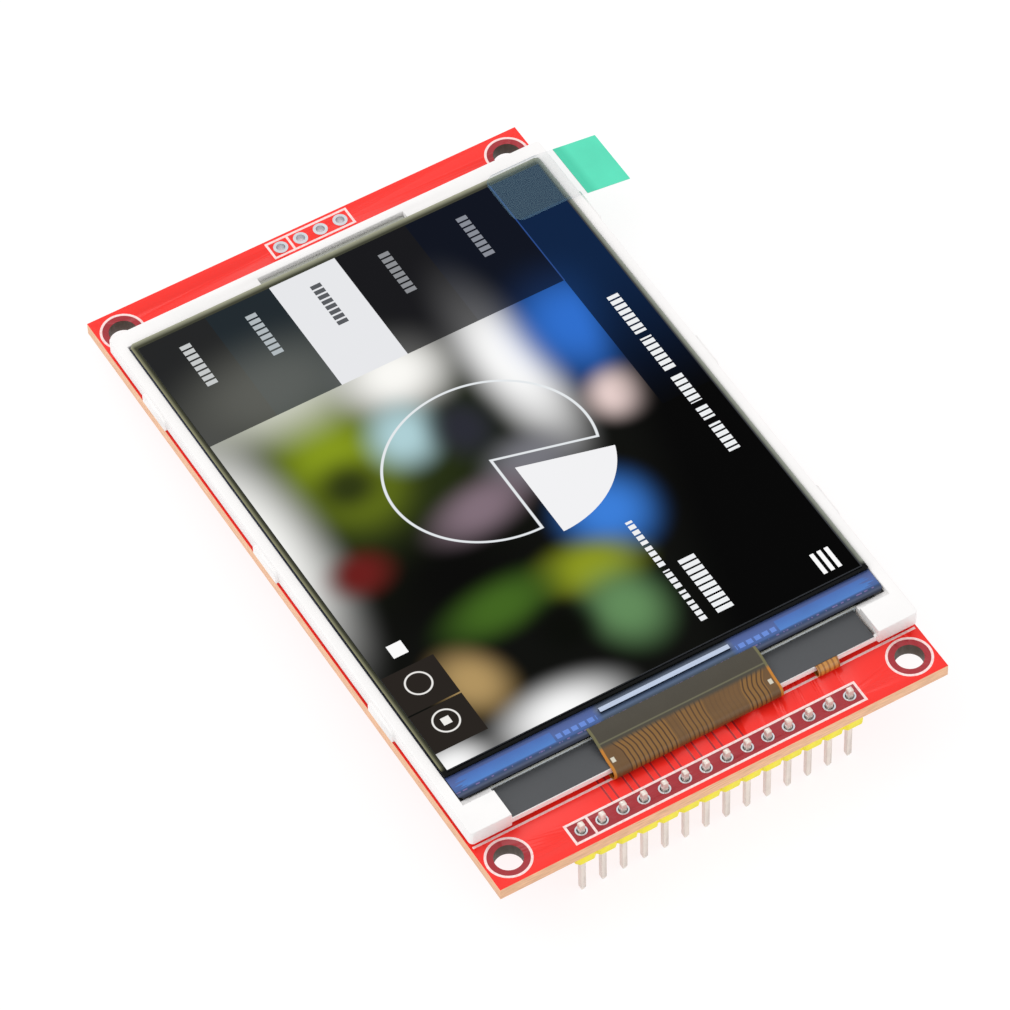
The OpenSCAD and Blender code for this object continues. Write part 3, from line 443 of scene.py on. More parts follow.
def ledge_material():
    """Display glass with thin-film circuits: mirror-flat, with interference blues over the wiring and
    near-black where the film is bare; its ground edges are painted near-black as shade."""
    material, tree, shader = new_material(
        "circuit_glass", Roughness=0.1, Specular_IOR_Level=0.2, Coat_Weight=0.12, Coat_Roughness=0.03)
    front = span("array_glass")[0].y
    place = millimetres(tree, shift=(0.0, -front, 0.0))
    axes = node(tree, "SeparateXYZ", {0: place}).outputs
    across = node(tree, "Math", {0: axes[0]}, operation="ABSOLUTE").outputs[0]
    colour = ramp(tree, axes[1], 0.0, 3.1, (
        (0.05, "#242B3F"), (0.13, "#4C566E"), (0.22, "#34466B"), (0.27, "#314B73"), (0.33, "#42609A"),
        (0.6, "#5068A4"), (0.8, "#4C609A"), (0.9, "#46588C"), (1.0, "#3A4771")))
    # The bright wiring fields at both sides of the chip, with a ragged outer end
    field_start, field_end, past_end = 13.8, 25.0, 30.0
    rows = millimetres(tree, scale=(0.0, 1.0, 0.0))
    ragged = node(tree, "TexNoise", {"Vector": rows, "Scale": 4.0, "Detail": 1.0}).outputs[0]
    reach = node(tree, "MapRange", {0: ragged, 1: 0.3, 2: 0.7, 3: -0.9, 4: 0.9}).outputs[0]
    reach = node(tree, "Math", {0: across, 1: reach}, operation="ADD").outputs[0]
    field = node(tree, "Math", {
        0: band(tree, reach, 0.0, field_end, 0.05), 1: band(tree, across, field_start, past_end)},
                 operation="MULTIPLY").outputs[0]
    field = node(tree, "Math", {0: field, 1: band(tree, axes[1], 1.08, 2.5, 0.06)},
                 operation="MULTIPLY").outputs[0]
    sheen = ramp(tree, axes[1], 1.0, 2.5, ((0.0, "#4D80C8"), (1.0, "#466CB4")))
    colour = node(tree, "Mix", {0: field, 6: colour, 7: mottle(tree, place, sheen, 3.0, 0.05)},
                  data_type="RGBA").outputs[2]
    # Test pads between those fields and the chip
    step = node(tree, "Math", {0: across, 1: 0.49}, operation="PINGPONG").outputs[0]
    pads = node(tree, "Math", {0: step, 1: 0.14}, operation="GREATER_THAN").outputs[0]
    for value, start, end in ((across, 8.6, 13.5), (axes[1], 1.3, 1.9)):
        pads = node(tree, "Math", {0: pads, 1: band(tree, value, start, end, 0.03)},
                    operation="MULTIPLY").outputs[0]
    colour = node(tree, "Mix", {0: pads, 6: colour, 7: rgba(linear("#668AD8"))},
                  data_type="RGBA").outputs[2]
    # Paler, greyer wiring round the chip
    grey = ramp(tree, axes[1], 0.0, 3.1, (
        (0.05, "#242B3F"), (0.13, "#444E60"), (0.27, "#3C4652"), (0.33, "#425165"), (0.42, "#546683"),
        (0.52, "#374862"), (0.76, "#6D798C"), (0.85, "#576275"), (0.95, "#3C4555"), (1.0, "#272E3B")))
    near_chip = band(tree, across, -1.0, 8.3, 0.4)
    colour = node(tree, "Mix", {0: near_chip, 6: colour, 7: grey}, data_type="RGBA").outputs[2]
    # A painted reflection: a broken purple line near the front edge
    marks = node(tree, "TexNoise", {"Vector": millimetres(tree, scale=(1.0, 0.0, 0.0)), "Scale": 1.3,
                                    "Detail": 2.0}).outputs[0]
    marks = band(tree, marks, 0.52, 0.62, 0.01)
    marks = node(tree, "Math", {0: marks, 1: band(tree, axes[1], 0.72, 0.86)},
                 operation="MULTIPLY").outputs[0]
    colour = node(tree, "Mix", {0: marks, 6: colour, 7: rgba(linear("#7A6A9C"))},
                  data_type="RGBA").outputs[2]
    # Painted shade: the ground edges are painted nearly black
    top = facing_up(tree)
    colour = node(tree, "Mix", {0: top, 6: rgba(linear("#080B14")), 7: colour},
                  data_type="RGBA").outputs[2]
    tree.links.new(colour, shader.inputs["Base Color"])
    return material


def silicon_material():
    """Silicon with a ground back, its top painted pale blue-grey as a highlight, with fine lines, and dark
    sawn sides.
    """
    material, tree, shader = new_material("ground_silicon", Metallic=0.4, Roughness=0.3)
    place = millimetres(tree, scale=(1.0, 12.0, 1.0))
    # Painted highlight: the top is painted pale blue-grey, while the sides keep the silicon's dark colour
    top = facing_up(tree)
    colour = node(tree, "Mix", {
        0: top, 6: rgba(linear("#202C42")), 7: mottle(tree, place, rgba(linear("#BCC9E0")), 2.0, 0.06),
    }, data_type="RGBA").outputs[2]
    tree.links.new(colour, shader.inputs["Base Color"])
    roughen(tree, shader, place, 0.6, 0.002, 0.25, 0.35)
    return material


def filter_material():
    """Float glass over a black border print: black in front, olive where the frame's light
    creeps in from the sides and the far end."""
    material, tree, shader = new_material(
        "filter_glass", Roughness=0.2, Specular_IOR_Level=0.1)
    place = millimetres(tree)
    axes = node(tree, "SeparateXYZ", {0: place}).outputs
    low, high = span("filter_glass")
    colour = rgba(linear("#3E3F30"))
    left = node(tree, "Math", {0: axes[0], 1: -1.0}, operation="MULTIPLY").outputs[0]
    for value, start, end, hex_colour in (
            (left, -low.x - 0.35, -low.x + 0.05, "#9A9978"),
            (axes[0], high.x - 0.65, high.x, "#9CA196"),
            (axes[1], high.y - 0.7, high.y + 0.1, "#B4B59C")):
        light = node(tree, "MapRange", {0: value, 1: start, 2: end}).outputs[0]
        colour = node(tree, "Mix", {0: light, 6: colour, 7: rgba(linear(hex_colour))},
                      data_type="RGBA").outputs[2]
    black = node(tree, "MapRange", {0: axes[1], 1: low.y + 0.6, 2: low.y + 1.2, 3: 1.0, 4: 0.0}).outputs[0]
    colour = node(tree, "Mix", {0: black, 6: colour, 7: rgba(linear("#060708"))},
                  data_type="RGBA").outputs[2]
    # Painted shade: the sides of the glass are painted near-black
    top = facing_up(tree)
    colour = node(tree, "Mix", {0: top, 6: rgba(linear("#12130E")), 7: colour},
                  data_type="RGBA").outputs[2]
    tree.links.new(mottle(tree, place, colour, 2.0, 0.05), shader.inputs["Base Color"])
    return material


# Soft fields of the picture: middle, radii and turn in the picture, colour, strength
PICTURE_FIELDS = (
    ((-14.0, 42.0), (26.0, 26.0), 0.0, "#2E3A14", 1.0),
    ((-15.0, 42.0), (10.0, 15.0), 0.0, "#8A9E1C", 0.95),
    ((-15.5, 38.0), (7.0, 6.0), 0.0, "#161E0E", 0.9),
    ((-28.0, 36.0), (10.0, 26.0), 0.0, "#FFFFFC", 1.0),
    ((-16.0, 54.0), (18.0, 11.0), 0.0, "#DADCCE", 0.95),
    ((-3.5, 49.0), (10.0, 9.0), 0.0, "#FFFEFA", 1.0),
    ((8.0, 44.0), (7.0, 20.0), 0.0, "#FFFFFF", 1.0),
    ((-7.0, 41.0), (6.5, 7.5), -20.0, "#B5D8DE", 0.95),
    ((-1.0, 38.5), (6.0, 7.0), 0.0, "#2A2B36", 0.95),
    ((17.0, 45.0), (11.0, 13.0), 0.0, "#2F70D0", 1.0),
    ((16.0, 34.0), (6.0, 5.5), 20.0, "#F0D8D4", 1.0),
    ((3.0, 31.0), (8.0, 6.0), 0.0, "#84848C", 0.8),
    ((-12.0, 22.0), (16.0, 11.0), 0.0, "#030302", 1.0),
    ((-20.5, 27.0), (6.0, 5.0), 0.0, "#6A1C1A", 1.0),
    ((-5.0, 28.0), (10.0, 5.5), 10.0, "#8A7682", 0.9),
    ((6.5, 20.5), (8.5, 8.5), 0.0, "#3C80DC", 1.0),
    ((1.0, 15.0), (9.0, 6.0), -10.0, "#8E9A20", 1.0),
    ((-10.0, 15.5), (11.0, 5.5), 5.0, "#42661F", 1.0),
    ((1.5, 8.5), (7.0, 8.5), 0.0, "#66905E", 0.95),
    ((-5.5, 9.5), (5.5, 5.5), 0.0, "#040602", 1.0),
    ((-17.5, 8.5), (6.0, 7.5), 20.0, "#B49662", 1.0),
    ((-11.5, 0.0), (11.0, 6.5), 0.0, "#FFFFFF", 1.0),
    ((-25.0, 0.0), (7.0, 5.0), 0.0, "#FFFFFF", 1.0),
)
# Cells of the menu at the far end: left and right side, colour, strength, and the
# colour of the blocks that stand for a word
MENU_CELLS = (
    (-25.6, -17.2, "#262728", 0.86, "#C9CCCC"),
    (-17.2, -9.1, "#232C32", 0.86, "#B4BCC0"),
    (-9.1, -0.8, "#EBECEF", 1.0, "#5A5C60"),
    (-0.8, 8.2, "#17171B", 0.88, "#8E9094"),
    (8.2, 19.2, "#0B1120", 0.86, "#8A8E98"),
)
# Rows of small blocks that stand for words: start, end, middle and height
WORD_ROWS = (
    (46.0, 39.8, 22.5, 1.4), (39.0, 33.6, 22.5, 1.4), (32.8, 28.3, 22.5, 1.4), (27.5, 25.6, 22.5, 1.4),
    (24.8, 20.5, 22.5, 1.4), (10.8, 2.5, 10.2, 2.0), (18.1, 14.5, 7.5, 0.8), (14.1, 10.8, 7.5, 0.8),
    (10.4, 7.6, 7.5, 0.8), (7.2, 6.0, 7.5, 0.8), (5.6, 2.6, 7.5, 0.8),
)


def picture_colour(tree, place):
    """The lit picture: soft fields, a row of menu cells, a side bar, words as rows of blocks, a
    chart and a few plain marks. It holds no letters."""
    colour = rgba(linear("#0A0B08"))
    for centre, radii, turn, hex_colour, strength in PICTURE_FIELDS:
        spot = spot_mask(tree, place, centre, radii, turn)
        spot = node(tree, "Math", {0: spot, 1: strength}, operation="MULTIPLY").outputs[0]
        colour = node(tree, "Mix", {0: spot, 6: colour, 7: rgba(linear(hex_colour))},
                      data_type="RGBA").outputs[2]

    def lay(mask, hex_colour, strength=1.0):
        nonlocal colour
        if strength < 1:
            mask = node(tree, "Math", {0: mask, 1: strength}, operation="MULTIPLY").outputs[0]
        colour = node(tree, "Mix", {0: mask, 6: colour, 7: rgba(linear(hex_colour))},
                      data_type="RGBA").outputs[2]

    bar_left, menu_y, past_edge = 19.2, 50.6, 80.0
    axes = node(tree, "SeparateXYZ", {0: place}).outputs
    # The right of the picture falls off to black behind the side bar
    shade = node(tree, "Math", {0: axes[1], 1: 0.28, 2: 4.6}, operation="MULTIPLY_ADD").outputs[0]
    shade = node(tree, "Math", {0: axes[0], 1: shade}, operation="SUBTRACT").outputs[0]
    lay(node(tree, "MapRange", {0: shade, 1: 0.0, 2: 7.0}, interpolation_type="SMOOTHSTEP").outputs[0],
        "#000000")
    lay(box_mask(tree, place, (bar_left, 30.0), (past_edge, past_edge)), "#0A2448", 0.9)
    fade = node(tree, "MapRange", {0: axes[1], 1: 52.0, 2: 28.0, 3: 0.0, 4: 1.0},
                interpolation_type="SMOOTHSTEP").outputs[0]
    bar = box_mask(tree, place, (bar_left, -past_edge), (past_edge, past_edge))
    fade = node(tree, "Math", {0: fade, 1: bar}, operation="MULTIPLY").outputs[0]
    lay(fade, "#000000")
    # A run of blocks and gaps, as wide as small print
    run = node(tree, "Math", {0: axes[1], 1: 0.42}, operation="PINGPONG").outputs[0]
    blocks = node(tree, "Math", {0: run, 1: 0.12}, operation="GREATER_THAN").outputs[0]
    for left, right, hex_colour, strength, word in MENU_CELLS:
        lay(box_mask(tree, place, (left, menu_y), (right, past_edge)), hex_colour, strength)
        middle = (left + right) / 2 + 0.4
        row = box_mask(tree, place, (middle - 0.65, menu_y + 7.3), (middle + 0.65, menu_y + 14.1))
        lay(node(tree, "Math", {0: row, 1: blocks}, operation="MULTIPLY").outputs[0], word)
    lay(box_mask(tree, place, (bar_left - 0.1, menu_y), (bar_left + 0.05, past_edge)), "#2C4C8C")
    for start, end, middle, height in WORD_ROWS:
        row = box_mask(tree, place, (middle - height / 2, end), (middle + height / 2, start))
        lay(node(tree, "Math", {0: row, 1: blocks}, operation="MULTIPLY").outputs[0], "#F2F4F6")
    # Three bars of a menu mark
    mark_start, mark_step, mark_bar = 21.5, 0.9, 0.5
    for i in range(3):
        start = mark_start + mark_step * i
        lay(box_mask(tree, place, (start, 1.1), (start + mark_bar, 4.1)), "#FFFFFF")
    # Two dark cells with plain round and square marks
    for low, high in ((2.4, 7.9), (8.1, 13.8)):
        lay(box_mask(tree, place, (-25.6, low), (-19.2, high)), "#28231F")
    for centre in ((-22.4, 5.6), (-22.4, 11.3)):
        _, far = round_place(tree, place, centre)
        lay(band(tree, far, 1.35, 1.55, 0.03), "#F4F2EE")
    lay(box_mask(tree, place, (-22.9, 5.1), (-21.9, 6.1)), "#F4F2EE")
    lay(box_mask(tree, place, (-23.0, 15.4), (-21.2, 17.2)), "#FFFFFF")
    # A round chart with one sector drawn out of it
    outer = math.radians(-17)
    for centre, radii, filled in (((-0.7, 33.0), (12.1, 10.75), False), ((1.0, 30.8), (11.3, 10.2), True)):
        flat, far = round_place(tree, place, centre, radii)
        disc = node(tree, "Math", {0: far, 1: 1.0}, operation="SUBTRACT").outputs[0]
        sides = [node(tree, "VectorMath", {0: flat, 1: normal}, operation="DOT_PRODUCT").outputs["Value"]
                 for normal in ((math.sin(outer), -math.cos(outer), 0.0), (1.0, 0.0, 0.0))]
        sector = node(tree, "Math", {0: sides[0], 1: sides[1]}, operation="MINIMUM").outputs[0]
        if filled:
            wedge = node(tree, "Math", {0: sector, 1: 0.0}, operation="GREATER_THAN").outputs[0]
            disc = node(tree, "Math", {0: disc, 1: 0.0}, operation="LESS_THAN").outputs[0]
            lay(node(tree, "Math", {0: wedge, 1: disc}, operation="MULTIPLY").outputs[0], "#F6F6F8")
        else:
            shape = node(tree, "Math", {0: disc, 1: sector}, operation="MAXIMUM").outputs[0]
            lay(band(tree, shape, -0.013, 0.013, 0.003), "#E9EDF0")
    return colour


def screen_material():
    """Anti-glare polarizer over a lit liquid crystal cell: the picture glows through a film
    that hardly shines."""
    material, tree, shader = new_material(
        "lit_polarizer", Roughness=0.25, Specular_IOR_Level=0.02)
    material.cycles.emission_sampling = "NONE"
    low, high = span("upper_polarizer")
    place = millimetres(tree, shift=(0.0, -low.y, 0.0))
    picture = picture_colour(tree, place)
    top = facing_up(tree)
    lit_area = box_mask(tree, place, (low.x, 0.05), (high.x - 0.15, high.y - low.y))
    top = node(tree, "Math", {0: top, 1: lit_area}, operation="MULTIPLY").outputs[0]
    glow = node(tree, "Mix", {0: top, 6: rgba((0.0, 0.0, 0.0)), 7: picture}, data_type="RGBA").outputs[2]
    tree.links.new(glow, shader.inputs["Emission Color"])
    shader.inputs["Emission Strength"].default_value = 0.96
    film = node(tree, "Mix", {0: top, 6: rgba(linear("#3C3E42")), 7: rgba(linear("#020202"))},
                data_type="RGBA").outputs[2]
    tree.links.new(film, shader.inputs["Base Color"])
    return material


def cable_material(colours):
    """Polyimide flexible circuit: amber film over copper, dark where a cover film doubles it,
    with its tracks fanning out and polished gold at the bend."""
    material, tree, shader = new_material(
        "polyimide_cable", Roughness=0.3, Specular_IOR_Level=0.3, Coat_Weight=0.1)
    flat = node(tree, "UVMap", uv_map="along").outputs[0]
    axes = node(tree, "SeparateXYZ", {0: flat}).outputs
    along = axes[1]
    # Tracks lean outwards as they near the bend
    lean = node(tree, "MapRange", {0: along, 1: 2.2, 2: 4.2, 3: 0.0, 4: 0.09},
                interpolation_type="SMOOTHSTEP").outputs[0]
    lean = node(tree, "Math", {0: lean, 1: 1.0}, operation="ADD").outputs[0]
    across = node(tree, "Math", {0: axes[0], 1: lean}, operation="MULTIPLY").outputs[0]
    step = node(tree, "Math", {0: across, 1: 0.3}, operation="PINGPONG").outputs[0]
    track = node(tree, "MapRange", {0: step, 1: 0.06, 2: 0.12}).outputs[0]
    # Wide groups of tracks at both sides, faint ones in the middle
    groups = ramp(tree, across, -10.4, 10.4, (
        (0.0, grey(0.0)), (0.06, grey(1.0)), (0.37, grey(0.15)), (0.43, grey(0.75)), (0.6, grey(0.1)),
        (0.83, grey(1.0)), (0.97, grey(0.0))), "CONSTANT")
    copper = node(tree, "Mix", {0: track, 6: rgba(linear("#4A3018")), 7: rgba(colours.cable)},
                  data_type="RGBA").outputs[2]
    brown = mottle(tree, flat, rgba(linear("#6C4E2C")), 2.5, 0.08)
    colour = node(tree, "Mix", {0: groups, 6: brown, 7: copper}, data_type="RGBA").outputs[2]
    # The cover film begins a little way from the glass
    start = node(tree, "MapRange", {0: along, 1: 2.5, 2: 3.1}, interpolation_type="SMOOTHSTEP").outputs[0]
    cover = mottle(tree, flat, rgba(linear("#443F34")), 3.0, 0.05)
    colour = node(tree, "Mix", {0: start, 6: cover, 7: colour}, data_type="RGBA").outputs[2]
    colour = node(tree, "Mix", {0: band(tree, along, 2.2, 2.35, 0.05), 6: colour,
                                7: rgba(linear("#6A6850"))}, data_type="RGBA").outputs[2]
    # Bare amber film along both sides, painted lighter there as an edge highlight, and a tinned mark near
    # each corner of the bend
    side = node(tree, "Math", {0: axes[0]}, operation="ABSOLUTE").outputs[0]
    amber = node(tree, "Mix", {0: start, 6: rgba(linear("#6E6A48")), 7: rgba(linear("#C47E28"))},
                 data_type="RGBA").outputs[2]
    colour = node(tree, "Mix", {0: band(tree, side, 10.1, 11.0, 0.04), 6: colour, 7: amber},
                  data_type="RGBA").outputs[2]
    mark = node(tree, "Math", {0: band(tree, side, 9.45, 9.9, 0.03), 1: band(tree, along, 4.1, 4.7, 0.03)},
                operation="MULTIPLY").outputs[0]
    colour = node(tree, "Mix", {0: mark, 6: colour, 7: rgba(linear("#D8D2C0"))},
                  data_type="RGBA").outputs[2]
    tree.links.new(colour, shader.inputs["Base Color"])
    bump = node(tree, "Bump", {"Strength": 0.6, "Distance": 0.012 * MM, "Height": track})
    tree.links.new(bump.outputs[0], shader.inputs["Normal"])
    return material


def tail_material(colours):
    """Polyimide lamp circuit: gold-brown film with fine copper lines showing through."""
    material, tree, shader = new_material("polyimide_tail", Roughness=0.28, Coat_Weight=0.25)
    place = millimetres(tree)
    axes = node(tree, "SeparateXYZ", {0: place}).outputs
    step = node(tree, "Math", {0: axes[0], 1: 0.29}, operation="PINGPONG").outputs[0]
    line = node(tree, "MapRange", {0: step, 1: 0.08, 2: 0.14}).outputs[0]
    colour = node(tree, "Mix", {0: line, 6: rgba(linear("#9A601E")), 7: rgba(colours.tail)},
                  data_type="RGBA").outputs[2]
    tree.links.new(mottle(tree, place, colour, 1.0, 0.08), shader.inputs["Base Color"])
    bump = node(tree, "Bump", {"Strength": 0.5, "Distance": 0.01 * MM, "Height": line})
    tree.links.new(bump.outputs[0], shader.inputs["Normal"])
    return material


def tab_material(colours):
    """Printed polyester film: glossy green, deeper where the film is doubled at the fold."""
    material, tree, shader = new_material("green_polyester_film", Roughness=0.3)
    low = span("pull_tab_grip")[0]
    place = millimetres(tree)
    axes = node(tree, "SeparateXYZ", {0: place}).outputs
    fold = node(tree, "MapRange", {0: axes[0], 1: low.x + 0.7, 2: low.x + 1.6}).outputs[0]
    colour = node(tree, "Mix", {0: fold, 6: rgba(linear("#40CFAA")), 7: rgba(colours.tab)},
                  data_type="RGBA").outputs[2]
    tree.links.new(mottle(tree, place, colour, 3.0, 0.04), shader.inputs["Base Color"])
    return material


def clear_film_material():
    """Clear polyester film: seen by its edge and a faint green cast."""
    material, tree, shader = new_material(
        "clear_polyester_film", Roughness=0.3, Specular_IOR_Level=0.1)
    low, high = span("pull_tab_strip")
    place = millimetres(tree)
    inner = box_mask(tree, place, (low.x + 0.35, low.y + 0.3), (high.x, high.y - 0.1))
    axes = node(tree, "SeparateXYZ", {0: place}).outputs
    # The film fades where it lies over the white rail
    rail_start, rail_end = 25.6, 26.4
    rail = node(tree, "MapRange", {0: axes[0], 1: rail_start, 2: rail_end}).outputs[0]
    body = node(tree, "Mix", {0: inner, 6: rgba(linear("#5C7C92")), 7: rgba(linear("#7C9AA0"))},
                data_type="RGBA").outputs[2]
    tree.links.new(body, shader.inputs["Base Color"])
    alpha = node(tree, "MapRange", {0: inner, 3: 0.25, 4: 0.12}).outputs[0]
    alpha = node(tree, "Mix", {0: rail, 2: alpha, 3: 0.05}).outputs[0]
    tree.links.new(alpha, shader.inputs["Alpha"])
    return material


# Operators: one for each piece or group of like pieces


class ModuleOperator:
    """What the module's operators share"""

    bl_options = {"REGISTER", "UNDO"}

    @staticmethod
    def looks(context):
        scene = context.scene
        return scene.module_colours, scene.module_sizes


class MODULE_OT_board(ModuleOperator, bpy.types.Operator):
    """Round the carrier board's edges and coat it with solder mask"""

    bl_idname = "display_module.board"
    bl_label = "Carrier board"

    def execute(self, context):
        colours, sizes = self.looks(context)
        mask = solder_mask_material(colours, sizes)
        finished_copy("circuit_board", "carrier_board", mask, sizes.board_edge)
        dress_nodes(mask, "front_tracks")
        return {"FINISHED"}


class MODULE_OT_print(ModuleOperator, bpy.types.Operator):
    """Ink the printed rings, boxes and lines on both sides of the board"""

    bl_idname = "display_module.print"
    bl_label = "Printed lines"

    def execute(self, context):
        colours, _ = self.looks(context)
        dress_nodes(ink_material(colours), "front_print", "back_print")
        return {"FINISHED"}


class MODULE_OT_plating(ModuleOperator, bpy.types.Operator):
    """Plate the holes and the pads on both sides of the board"""

    bl_idname = "display_module.plating"
    bl_label = "Plated holes and pads"

    def execute(self, context):
        tin = metal_material("hot_air_levelled_tin", linear("#D4D8DC"), 0.2, 0.4)
        dress_nodes(tin, "header_barrels", "card_header_barrels", "jumper_pads", "spare_chip_pads")
        gold = metal_material("immersion_gold", linear("#D8B468"), 0.2, 0.35)
        dress_nodes(gold, "flex_pads", "backlight_pads")
        return {"FINISHED"}


class MODULE_OT_header(ModuleOperator, bpy.types.Operator):
    """Round the pin header's plastic and its pins"""

    bl_idname = "display_module.header"
    bl_label = "Pin header"

    def execute(self, context):
        colours, sizes = self.looks(context)
        plastic = plastic_material("yellow_polyester", colours.header, 0.35, 0.5, 0.15, 0.004)
        finished_copy("header_insulator", "pin_header_plastic", plastic, sizes.header_edge)
        pins = metal_material("tinned_brass_wire", colours.pin, 0.3, 0.45, metallic=0.45)
        finished_copy("header_pins", "pin_header_pins", pins, sizes.pin_edge)
        return {"FINISHED"}


class MODULE_OT_solder(ModuleOperator, bpy.types.Operator):
    """Form the solder cones round the tails of the header pins"""

    bl_idname = "display_module.solder"
    bl_label = "Solder cones"

    # Height above the pad and radius of the cone's rings, from its foot to its crest
    profile = (
        (0.05, 0.68), (0.14, 0.64), (0.28, 0.57), (0.45, 0.5), (0.65, 0.455), (0.85, 0.43), (0.98, 0.38))
    def execute(self, context):
        colours, _ = self.looks(context)
        material = solder_material(colours)
        low, high = span("solder_cones")
        middle = (low + high) / 2
        foot_radius = (high.y - low.y) / 2
        clear_selection()
        bpy.ops.mesh.primitive_circle_add(
            vertices=20, radius=foot_radius * MM, fill_type="NGON", location=(0.0, 0.0, 0.0))
        cone = bpy.context.active_object
        bpy.ops.object.mode_set(mode="EDIT")
        bpy.ops.mesh.select_all(action="SELECT")
        height, radius = 0.0, foot_radius
        for next_height, next_radius in self.profile:
            bpy.ops.mesh.extrude_region_move(
                TRANSFORM_OT_translate={"value": (0.0, 0.0, (next_height - height) * MM)})
            scale = next_radius / radius
            bpy.ops.transform.resize(value=(scale, scale, 1.0))
            height, radius = next_height, next_radius
        bpy.ops.mesh.select_all(action="SELECT")
        bpy.ops.mesh.normals_make_consistent(inside=False)
        bpy.ops.object.mode_set(mode="OBJECT")
        bpy.ops.object.shade_smooth_by_angle(angle=math.radians(60))
        cones = [cone]
        pitch = (high.x - low.x - 2 * foot_radius) / (HEADER_PINS - 1)
        for i in range(1, HEADER_PINS):
            copy = bpy.data.objects.new(f"solder_cone_{i}", cone.data.copy())
            context.scene.collection.objects.link(copy)
            cones.append(copy)
        for i, copy in enumerate(cones):
            # No two joints are filled quite alike
            size = 1.0 + 0.05 * math.sin(2.4 * i)
            turn = Matrix.Rotation(math.radians(37.0 * i), 4, "Z")
            place = Vector((middle.x + (i - (HEADER_PINS - 1) / 2) * pitch, middle.y, low.z)) * MM
            copy.data.transform(
                Matrix.Translation(place) @ turn @ Matrix.Diagonal((0.98, 0.98, size * 0.95, 1.0)))
        clear_selection()
        for copy in cones:
            copy.select_set(True)
        context.view_layer.objects.active = cone
        bpy.ops.object.join()
        cone.name = "solder_joints"
        dress(cone, material)
        hand_over(cone, "solder_cones")
        return {"FINISHED"}


class MODULE_OT_frame(ModuleOperator, bpy.types.Operator):
    """Round the white frame's moulded edges and lay its foam tape"""

    bl_idname = "display_module.frame"
    bl_label = "White frame"

    def execute(self, context):
        colours, sizes = self.looks(context)
        plastic = plastic_material("white_polycarbonate", colours.frame, 0.3, 0.42, 0.2, 0.003, 0.015)
        finished_copy("backlight_frame", "white_frame", plastic, sizes.frame_edge)
        foam = plastic_material("closed_cell_foam", linear("#2C2826"), 0.85, 0.95, 0.25, 0.08, 0.2)
        dress_nodes(foam, "foam_tape")
        return {"FINISHED"}


class MODULE_OT_backlight(ModuleOperator, bpy.types.Operator):
    """Finish the reflector, the light guide, the films, the lamps and the tapes"""

    bl_idname = "display_module.backlight"
    bl_label = "Backlight"

    def execute(self, context):
        colours, _ = self.looks(context)
        dress_nodes(plastic_material("silvered_polyester", linear("#F1F1EF"), 0.2, 0.3, 0.4, 0.002),
                    "reflector_film")
        dress_nodes(plastic_material("cast_acrylic", linear("#E6F1F6"), 0.08, 0.15, 0.3, 0.004),
                    "light_guide")
        dress_nodes(plastic_material("diffuser_polyester", linear("#E9EBE9"), 0.6, 0.7, 0.1, 0.004),
                    "diffuser_film")
        dress_nodes(plastic_material("prism_polyester", linear("#B9BBB2"), 0.25, 0.4, 0.08, 0.006),
                    "lower_prism_film", "upper_prism_film")
        dress_nodes(plastic_material("lamp_resin", linear("#FFF4C0"), 0.2, 0.3, 0.5, 0.004), "lamps")
        tape = plastic_material("grey_polyester_tape", colours.bay_tape, 0.38, 0.5, 0.3, 0.004, 0.03)
        dress_nodes(tape, "lamp_bay_tape")
        dress_nodes(plastic_material("black_polyester_tape", linear("#1E1E20"), 0.4, 0.5, 0.3, 0.004),
                    "rim_tape")
        dress_nodes(plastic_material("lower_polarizer_film", linear("#34373A"), 0.15, 0.2, 0.5, 0.001),
                    "lower_polarizer")
        finished_copy("lamp_strip", "lamp_circuit", tail_material(colours), 0.0)
        return {"FINISHED"}


class MODULE_OT_glass(ModuleOperator, bpy.types.Operator):
    """Finish both sheets of glass and the driver chip on the ledge"""

    bl_idname = "display_module.glass"
    bl_label = "Glass and driver chip"

    def execute(self, context):
        _, sizes = self.looks(context)
        finished_copy("array_glass", "circuit_glass", ledge_material(), sizes.glass_edge, 1)
        finished_copy("filter_glass", "filter_glass_sheet", filter_material(), sizes.glass_edge, 1)
        finished_copy("driver_chip", "driver_chip_die", silicon_material(), sizes.glass_edge, 1)
        return {"FINISHED"}


class MODULE_OT_screen(ModuleOperator, bpy.types.Operator):
    """Finish the upper polarizer and light the picture under it"""

    bl_idname = "display_module.screen"
    bl_label = "Screen"

    def execute(self, context):
        _, sizes = self.looks(context)
        finished_copy("upper_polarizer", "screen_polarizer", screen_material(), sizes.film_edge, 1)
        return {"FINISHED"}


